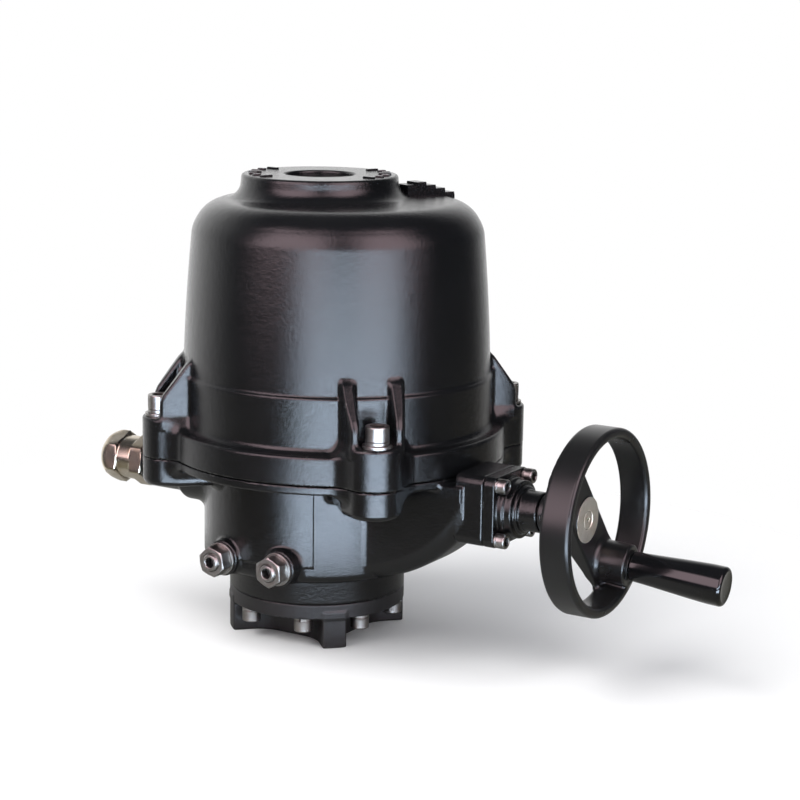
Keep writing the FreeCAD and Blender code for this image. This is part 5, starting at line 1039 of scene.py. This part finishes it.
def raised(tree, shader, height, strength, depth_mm):
    """Bump of a depth in millimetres into the shader's normal."""
    bump = add(tree, "ShaderNodeBump", {"Height": height, "Strength": strength, "Distance": depth_mm * MM})
    tree.links.new(bump.outputs["Normal"], shader.inputs["Normal"])


def black_coat(name, colour, gloss, peel_mm, speckle, depth_mm, worn, dust, cast_mm=0.0):
    """Black powder coat: peel in the surface, a slow change of gloss, dust on top faces, and edges rubbed
    greyer."""
    made, tree, shader = finish(name, Metallic=0.0, IOR=1.5)
    peel = effect(tree, PEEL, Size_mm=peel_mm, Speckle=speckle)
    rubbed = effect(tree, RUBBED, Amount=worn)["Mask"]
    dusty = effect(tree, DUST, Amount=dust)["Mask"]
    deep = (colour[0] * 0.8, colour[1] * 0.8, colour[2] * 0.8, 1)
    base = blend_colour(tree, peel["Gloss"], deep, (*(c * 1.25 for c in colour), 1))
    base = blend_colour(tree, rubbed, base, (0.16, 0.155, 0.15, 1))
    base = blend_colour(tree, dusty, base, (0.19, 0.185, 0.175, 1))
    tree.links.new(base, shader.inputs["Base Color"])
    rough = maths(tree, "ADD", maths(tree, "MULTIPLY", peel["Gloss"], 0.10), gloss - 0.05)
    rough = maths(tree, "ADD", rough, maths(tree, "MULTIPLY", rubbed, 0.22))
    rough = maths(tree, "ADD", rough, maths(tree, "MULTIPLY", dusty, 0.5))
    tree.links.new(rough, shader.inputs["Roughness"])
    height = peel["Height"]
    if cast_mm:
        grain = effect(tree, GRAIN, Grain_mm=cast_mm)["Height"]
        height = maths(tree, "ADD", maths(tree, "MULTIPLY", height, 0.5), grain)
    raised(tree, shader, height, 1.0, depth_mm)
    return made


def bare_metal(name, colour, stain, gloss, per_mm, depth_mm):
    """Turned or plated metal: fine lathe grooves, a faint stain, painted shade down in sockets, and gloss
    that changes with them.
    """
    made, tree, shader = finish(name, Metallic=1.0)
    marks = effect(tree, TURNING_AND_SOCKET_SHADE, Per_mm=per_mm)
    base = blend_colour(tree, ramp(tree, marks["Streak"], 0.38, 0.72), (*colour, 1), (*stain, 1))
    # Painted shade: socket walls and bottoms darkened to about a fifth of the stain's colour
    base = blend_colour(tree, marks["Socket shade"], base, (*(c * 0.22 for c in stain), 1))
    tree.links.new(base, shader.inputs["Base Color"])
    rough = maths(tree, "ADD", maths(tree, "MULTIPLY", marks["Streak"], 0.16), gloss - 0.08)
    rough = maths(tree, "ADD", rough, maths(tree, "MULTIPLY", marks["Height"], 0.05))
    rough = maths(tree, "ADD", rough, maths(tree, "MULTIPLY", marks["Socket shade"], 0.25))
    tree.links.new(rough, shader.inputs["Roughness"])
    raised(tree, shader, marks["Height"], 0.6, depth_mm)
    return made


def plain_coat(name, colour, gloss, grain_mm, depth_mm, change=0.25):
    """Moulded plastic, rubber or flat paint: fine grain, and colour and gloss that change a little over
    the piece."""
    made, tree, shader = finish(name, Metallic=0.0)
    peel = effect(tree, PEEL, Size_mm=grain_mm, Speckle=0.4)
    dusty = effect(tree, DUST, Amount=0.03)["Mask"]
    base = blend_colour(tree, peel["Gloss"], (*(c * (1 - change) for c in colour), 1),
                        (*(min(c * (1 + change), 1) for c in colour), 1))
    base = blend_colour(tree, dusty, base, (0.2, 0.2, 0.19, 1))
    tree.links.new(base, shader.inputs["Base Color"])
    rough = maths(tree, "ADD", maths(tree, "MULTIPLY", peel["Gloss"], 0.12), gloss - 0.06)
    tree.links.new(maths(tree, "ADD", rough, maths(tree, "MULTIPLY", dusty, 0.4)), shader.inputs["Roughness"])
    raised(tree, shader, peel["Height"], 0.7, depth_mm)
    return made


def window_glass():
    """Clear glass with a faint smear in its gloss."""
    made, tree, shader = finish("sight_glass", Base_Color=(0.96, 0.98, 0.97, 1), Transmission_Weight=1.0,
                                IOR=1.46)
    smear = noise(tree, object_place(tree), 60.0, 4.0, 0.6)
    tree.links.new(ramp(tree, smear, 0.45, 0.8, 0.02, 0.12), shader.inputs["Roughness"])
    return made


FINISHES = {
    "housing_coat": black_coat("housing_powder_coat", (0.0052, 0.0054, 0.0062), gloss=0.19, peel_mm=2.0,
                               speckle=0.6, depth_mm=0.17, worn=0.35, dust=0.02),
    "base_coat": black_coat("base_powder_coat", (0.011, 0.011, 0.012), gloss=0.40, peel_mm=1.8,
                            speckle=0.5, depth_mm=0.10, worn=0.5, dust=0.05, cast_mm=1.1),
    "wheel_coat": black_coat("wheel_satin_coat", (0.009, 0.009, 0.0095), gloss=0.29, peel_mm=1.2,
                             speckle=0.3, depth_mm=0.010, worn=0.3, dust=0.02),
    "grip_plastic": plain_coat("grip_black_gloss", (0.006, 0.006, 0.007), 0.13, 6.0, 0.010),
    "stainless": bare_metal("stainless_turned", (0.36, 0.352, 0.34), (0.27, 0.262, 0.245), 0.32, 6.0, 0.012),
    "nickel": bare_metal("nickel_plate", (0.60, 0.54, 0.45), (0.48, 0.41, 0.31), 0.18, 3.0, 0.006),
    "gear_steel": bare_metal("machined_steel", (0.56, 0.53, 0.49), (0.40, 0.36, 0.30), 0.24, 9.0, 0.02),
    "bronze": bare_metal("gear_bronze", (0.50, 0.29, 0.12), (0.36, 0.21, 0.10), 0.32, 4.0, 0.012),
    "plate": bare_metal("zinc_plate", (0.50, 0.50, 0.50), (0.40, 0.41, 0.42), 0.36, 2.0, 0.01),
    "seal_rubber": plain_coat("seal_black_rubber", (0.014, 0.014, 0.014), 0.55, 1.0, 0.02),
    "motor_paint": plain_coat("motor_grey_paint", (0.14, 0.15, 0.16), 0.40, 1.6, 0.03),
    "electric_plastic": plain_coat("switch_plastic", (0.05, 0.06, 0.07), 0.42, 0.9, 0.015),
    "dial": plain_coat("dial_face", (0.62, 0.60, 0.54), 0.35, 1.2, 0.01, 0.06),
    "lens": window_glass(),
}
SPECIAL = {"dial_marks": plain_coat("dial_ink", (0.02, 0.02, 0.02), 0.4, 1.0, 0.005),
           # Hub's turned face: real bare steel, with its colour raised to a pale warm beige that paints in
           # the face's warm bright reflection
           "hub_face": bare_metal("hub_face_painted_reflection", (0.84, 0.79, 0.68), (0.70, 0.64, 0.52), 0.42, 5.0, 0.06)}


def dress():
    """Gives every new piece and every node that is still shown the finish of its slot."""
    for node in nodes.values():
        slot = next((material.name.split(".")[0] for material in node.data.materials if material),
                    "gear_steel")
        coat = FINISHES.get(slot, FINISHES["gear_steel"])
        for index in range(len(node.data.materials)):
            node.data.materials[index] = coat
        if not node.data.materials:
            node.data.materials.append(coat)
    for piece in bpy.context.scene.objects:
        if piece.type == "MESH" and piece.name not in nodes:
            piece.data.materials.clear()
            piece.data.materials.append(SPECIAL.get(piece.name, FINISHES[PIECE_SLOTS[piece.name]]))


# Camera, at the place that the fit to the photograph gives: focal length in picture widths, angles in
# degrees, place in millimetres
FOCAL, SENSOR = 2107.72 / 800, 36.0
YAW, PITCH, ROLL = 31.09, 11.65, 0.87
CAMERA_PLACE = (803.62, -1220.87, 465.65)


def look():
    """Camera for a square picture, from its place, yaw, pitch and roll."""
    camera = bpy.data.cameras.new("camera")
    camera.sensor_width = SENSOR
    camera.lens = FOCAL * SENSOR
    seat = bpy.data.objects.new("camera", camera)
    yaw, pitch, roll = (math.radians(a) for a in (YAW, PITCH, ROLL))
    forward = np.array([-math.sin(yaw) * math.cos(pitch), math.cos(yaw) * math.cos(pitch), -math.sin(pitch)])
    right = np.array([math.cos(yaw), math.sin(yaw), 0.0])
    up = np.cross(right, forward)
    turned_right = math.cos(roll) * right + math.sin(roll) * up
    over = -math.sin(roll) * right + math.cos(roll) * up
    matrix = mathutils.Matrix.Identity(4)
    for row in range(3):
        matrix[row][0], matrix[row][1], matrix[row][2] = turned_right[row], over[row], -forward[row]
        matrix[row][3] = CAMERA_PLACE[row] * MM
    seat.matrix_world = matrix
    camera.clip_end = 50
    bpy.context.scene.collection.objects.link(seat)
    bpy.context.scene.camera = seat


# Studio: pale floor, soft light, and plain white behind the object. Azimuths of the doorway and of the
# white are in degrees; a pane is its middle and half width seen from the doorway's azimuth, and its soft
# edge; a height is the lower and upper sine of the elevation, and its soft edge. The floor's rings and
# fades are in metres from its middle.
DOORWAY, BEHIND = -47.0, 145.0
DOOR_SPAN = (0, 38, 10)
DOOR_HEIGHT, FORECOURT_HEIGHT = (-0.085, 0.012, 0.025), (-0.42, -0.246, 0.015)
PANE_LEFT, PANE_RIGHT, PANE_HEIGHT = (-48.5, 30.5, 5), (30, 25, 5), (0.075, 0.80, 0.04)
DIM_ROOM, FLOOR_GLOW = (0.05, 0.053, 0.06, 1), (0.26, 0.25, 0.205, 1)
PANE_LIGHT, BEHIND_LIGHT = (3.8, 2.9, 3.15, 1), (1.2, 1.2, 1.2, 1)
DOOR_LIGHT, FORECOURT_LIGHT = (13.6, 16.0, 19.0, 1), (14.5, 17.6, 21.5, 1)
SOFT_DAYLIGHT, WHITE = (0.55, 0.56, 0.58, 1), (1, 1, 1, 1)
FLOOR_RINGS = (0.3, 1.6, 3.2)
FLOOR_SEEN, FLOOR_MIRRORED = (0.24, 0.58), (0.22, 0.31)


def studio_world():
    """The camera sees white. Polished faces see the same white behind the object, a dim room on the
    camera's side, and the soft doorway light that gives the tall pale band, with two duller panes above
    it. Direction is read as angles."""
    world = bpy.data.worlds.new("studio")
    bpy.context.scene.world = world
    world.use_nodes = True
    world.cycles.sampling_method = "NONE"
    tree = world.node_tree
    way = tree.nodes.new("ShaderNodeTexCoord").outputs["Generated"]

    def facing(azimuth):
        """How far the direction points to an azimuth."""
        return add(tree, "ShaderNodeVectorMath", {0: way, 1: (math.cos(math.radians(azimuth)),
                                                              math.sin(math.radians(azimuth)), 0)},
                   operation="DOT_PRODUCT").outputs["Value"]

    level = add(tree, "ShaderNodeSeparateXYZ", {0: way}).outputs[2]
    turn = maths(tree, "ARCTAN2", facing(DOORWAY + 90), facing(DOORWAY))

    def span(middle, half, soft):
        """Share within a half width of an azimuth seen from the doorway's."""
        off = maths(tree, "ABSOLUTE", maths(tree, "SUBTRACT", turn, math.radians(middle)))
        return ramp(tree, off, math.radians(half + soft), math.radians(half - soft))

    def between(low, high, soft):
        """Share between two heights."""
        above, below = ramp(tree, level, low - soft, low + soft), ramp(tree, level, high + soft, high - soft)
        return maths(tree, "MULTIPLY", above, below)

    colour = blend_colour(tree, ramp(tree, level, -0.05, -0.40), DIM_ROOM, FLOOR_GLOW)
    panes = maths(tree, "ADD", span(*PANE_LEFT), span(*PANE_RIGHT), clamp=True)
    colour = blend_colour(tree, maths(tree, "MULTIPLY", panes, between(*PANE_HEIGHT)), colour, PANE_LIGHT)
    door = span(*DOOR_SPAN)
    for height, light in ((DOOR_HEIGHT, DOOR_LIGHT), (FORECOURT_HEIGHT, FORECOURT_LIGHT)):
        colour = blend_colour(tree, maths(tree, "MULTIPLY", door, between(*height)), colour, light)
    behind = maths(tree, "MULTIPLY", ramp(tree, facing(BEHIND), 0.20, 1.0), ramp(tree, level, 0.85, 0.50))
    colour = blend_colour(tree, behind, colour, BEHIND_LIGHT)
    path = tree.nodes.new("ShaderNodeLightPath").outputs
    plain = maths(tree, "MAXIMUM", path["Is Camera Ray"], path["Is Transmission Ray"])
    shown = blend_colour(tree, path["Is Glossy Ray"], SOFT_DAYLIGHT, colour)
    shown = blend_colour(tree, plain, shown, WHITE)
    tree.links.new(shown, tree.nodes["Background"].inputs["Color"])
    tree.nodes["Background"].inputs["Strength"].default_value = 1.0


def soft_lamp(name, place, size, power, colour):
    """Large soft lamp aimed at the object; it lights the coats and casts the floor's soft shadow."""
    lamp = bpy.data.lights.new(name, "AREA")
    lamp.shape, lamp.size, lamp.size_y = "RECTANGLE", size, size
    lamp.energy, lamp.color = power, colour
    seat = bpy.data.objects.new(name, lamp)
    aim = mathutils.Vector((0.05, 0.0, 0.15)) - mathutils.Vector(place)
    seat.location = place
    seat.rotation_euler = aim.to_track_quat("-Z", "Y").to_euler()
    seat.visible_glossy = False
    bpy.context.scene.collection.objects.link(seat)


def pale_floor():
    """Floor disc that fades into the white background, so that only the soft shadow shows; in reflections it
    is a darker grey, painted shade, and fades out sooner.
    """
    angle = np.linspace(0, 2 * np.pi, 96, endpoint=False)
    ring = np.stack([np.cos(angle), np.sin(angle), 0 * angle], -1)
    points = np.concatenate([r * ring for r in FLOOR_RINGS])
    index = np.arange(len(points)).reshape(3, -1)
    quads = np.concatenate([np.stack([index[k], np.roll(index[k], -1), np.roll(index[k + 1], -1),
                                      index[k + 1]], -1) for k in (0, 1)])[:, ::-1]
    mesh = bpy.data.meshes.new("floor")
    mesh.from_pydata(points.tolist(), [], [index[0].tolist(), *quads.tolist()])
    floor = bpy.data.objects.new("floor", mesh)
    bpy.context.scene.collection.objects.link(floor)
    made, tree, shader = finish("floor_pale", Roughness=0.9)
    place = add(tree, "ShaderNodeVectorMath", {0: object_place(tree)}, operation="LENGTH").outputs["Value"]
    seen, mirrored = ramp(tree, place, *FLOOR_SEEN, 1.0, 0.0), ramp(tree, place, *FLOOR_MIRRORED, 1.0, 0.0)
    glossy = tree.nodes.new("ShaderNodeLightPath").outputs["Is Glossy Ray"]
    fade = add(tree, "ShaderNodeMix", {0: glossy, 2: seen, 3: mirrored}, data_type="FLOAT").outputs[0]
    tree.links.new(fade, shader.inputs["Alpha"])
    # Pale to the camera; to reflections a dark grey, painted shade on what the lower coats reflect
    floor_tone_and_reflected_shade = blend_colour(tree, glossy, (0.93, 0.93, 0.93, 1), (0.34, 0.34, 0.32, 1))
    tree.links.new(floor_tone_and_reflected_shade, shader.inputs["Base Color"])
    mesh.materials.append(made)


dress()
look()
studio_world()
soft_lamp("key_softbox", (-0.7, -1.3, 2.1), 1.9, 60, (1.0, 0.99, 0.98))
soft_lamp("fill_softbox", (1.9, -0.6, 1.3), 1.4, 18, (0.97, 0.98, 1.0))
pale_floor()
bpy.context.scene.view_settings.view_transform = "Standard"
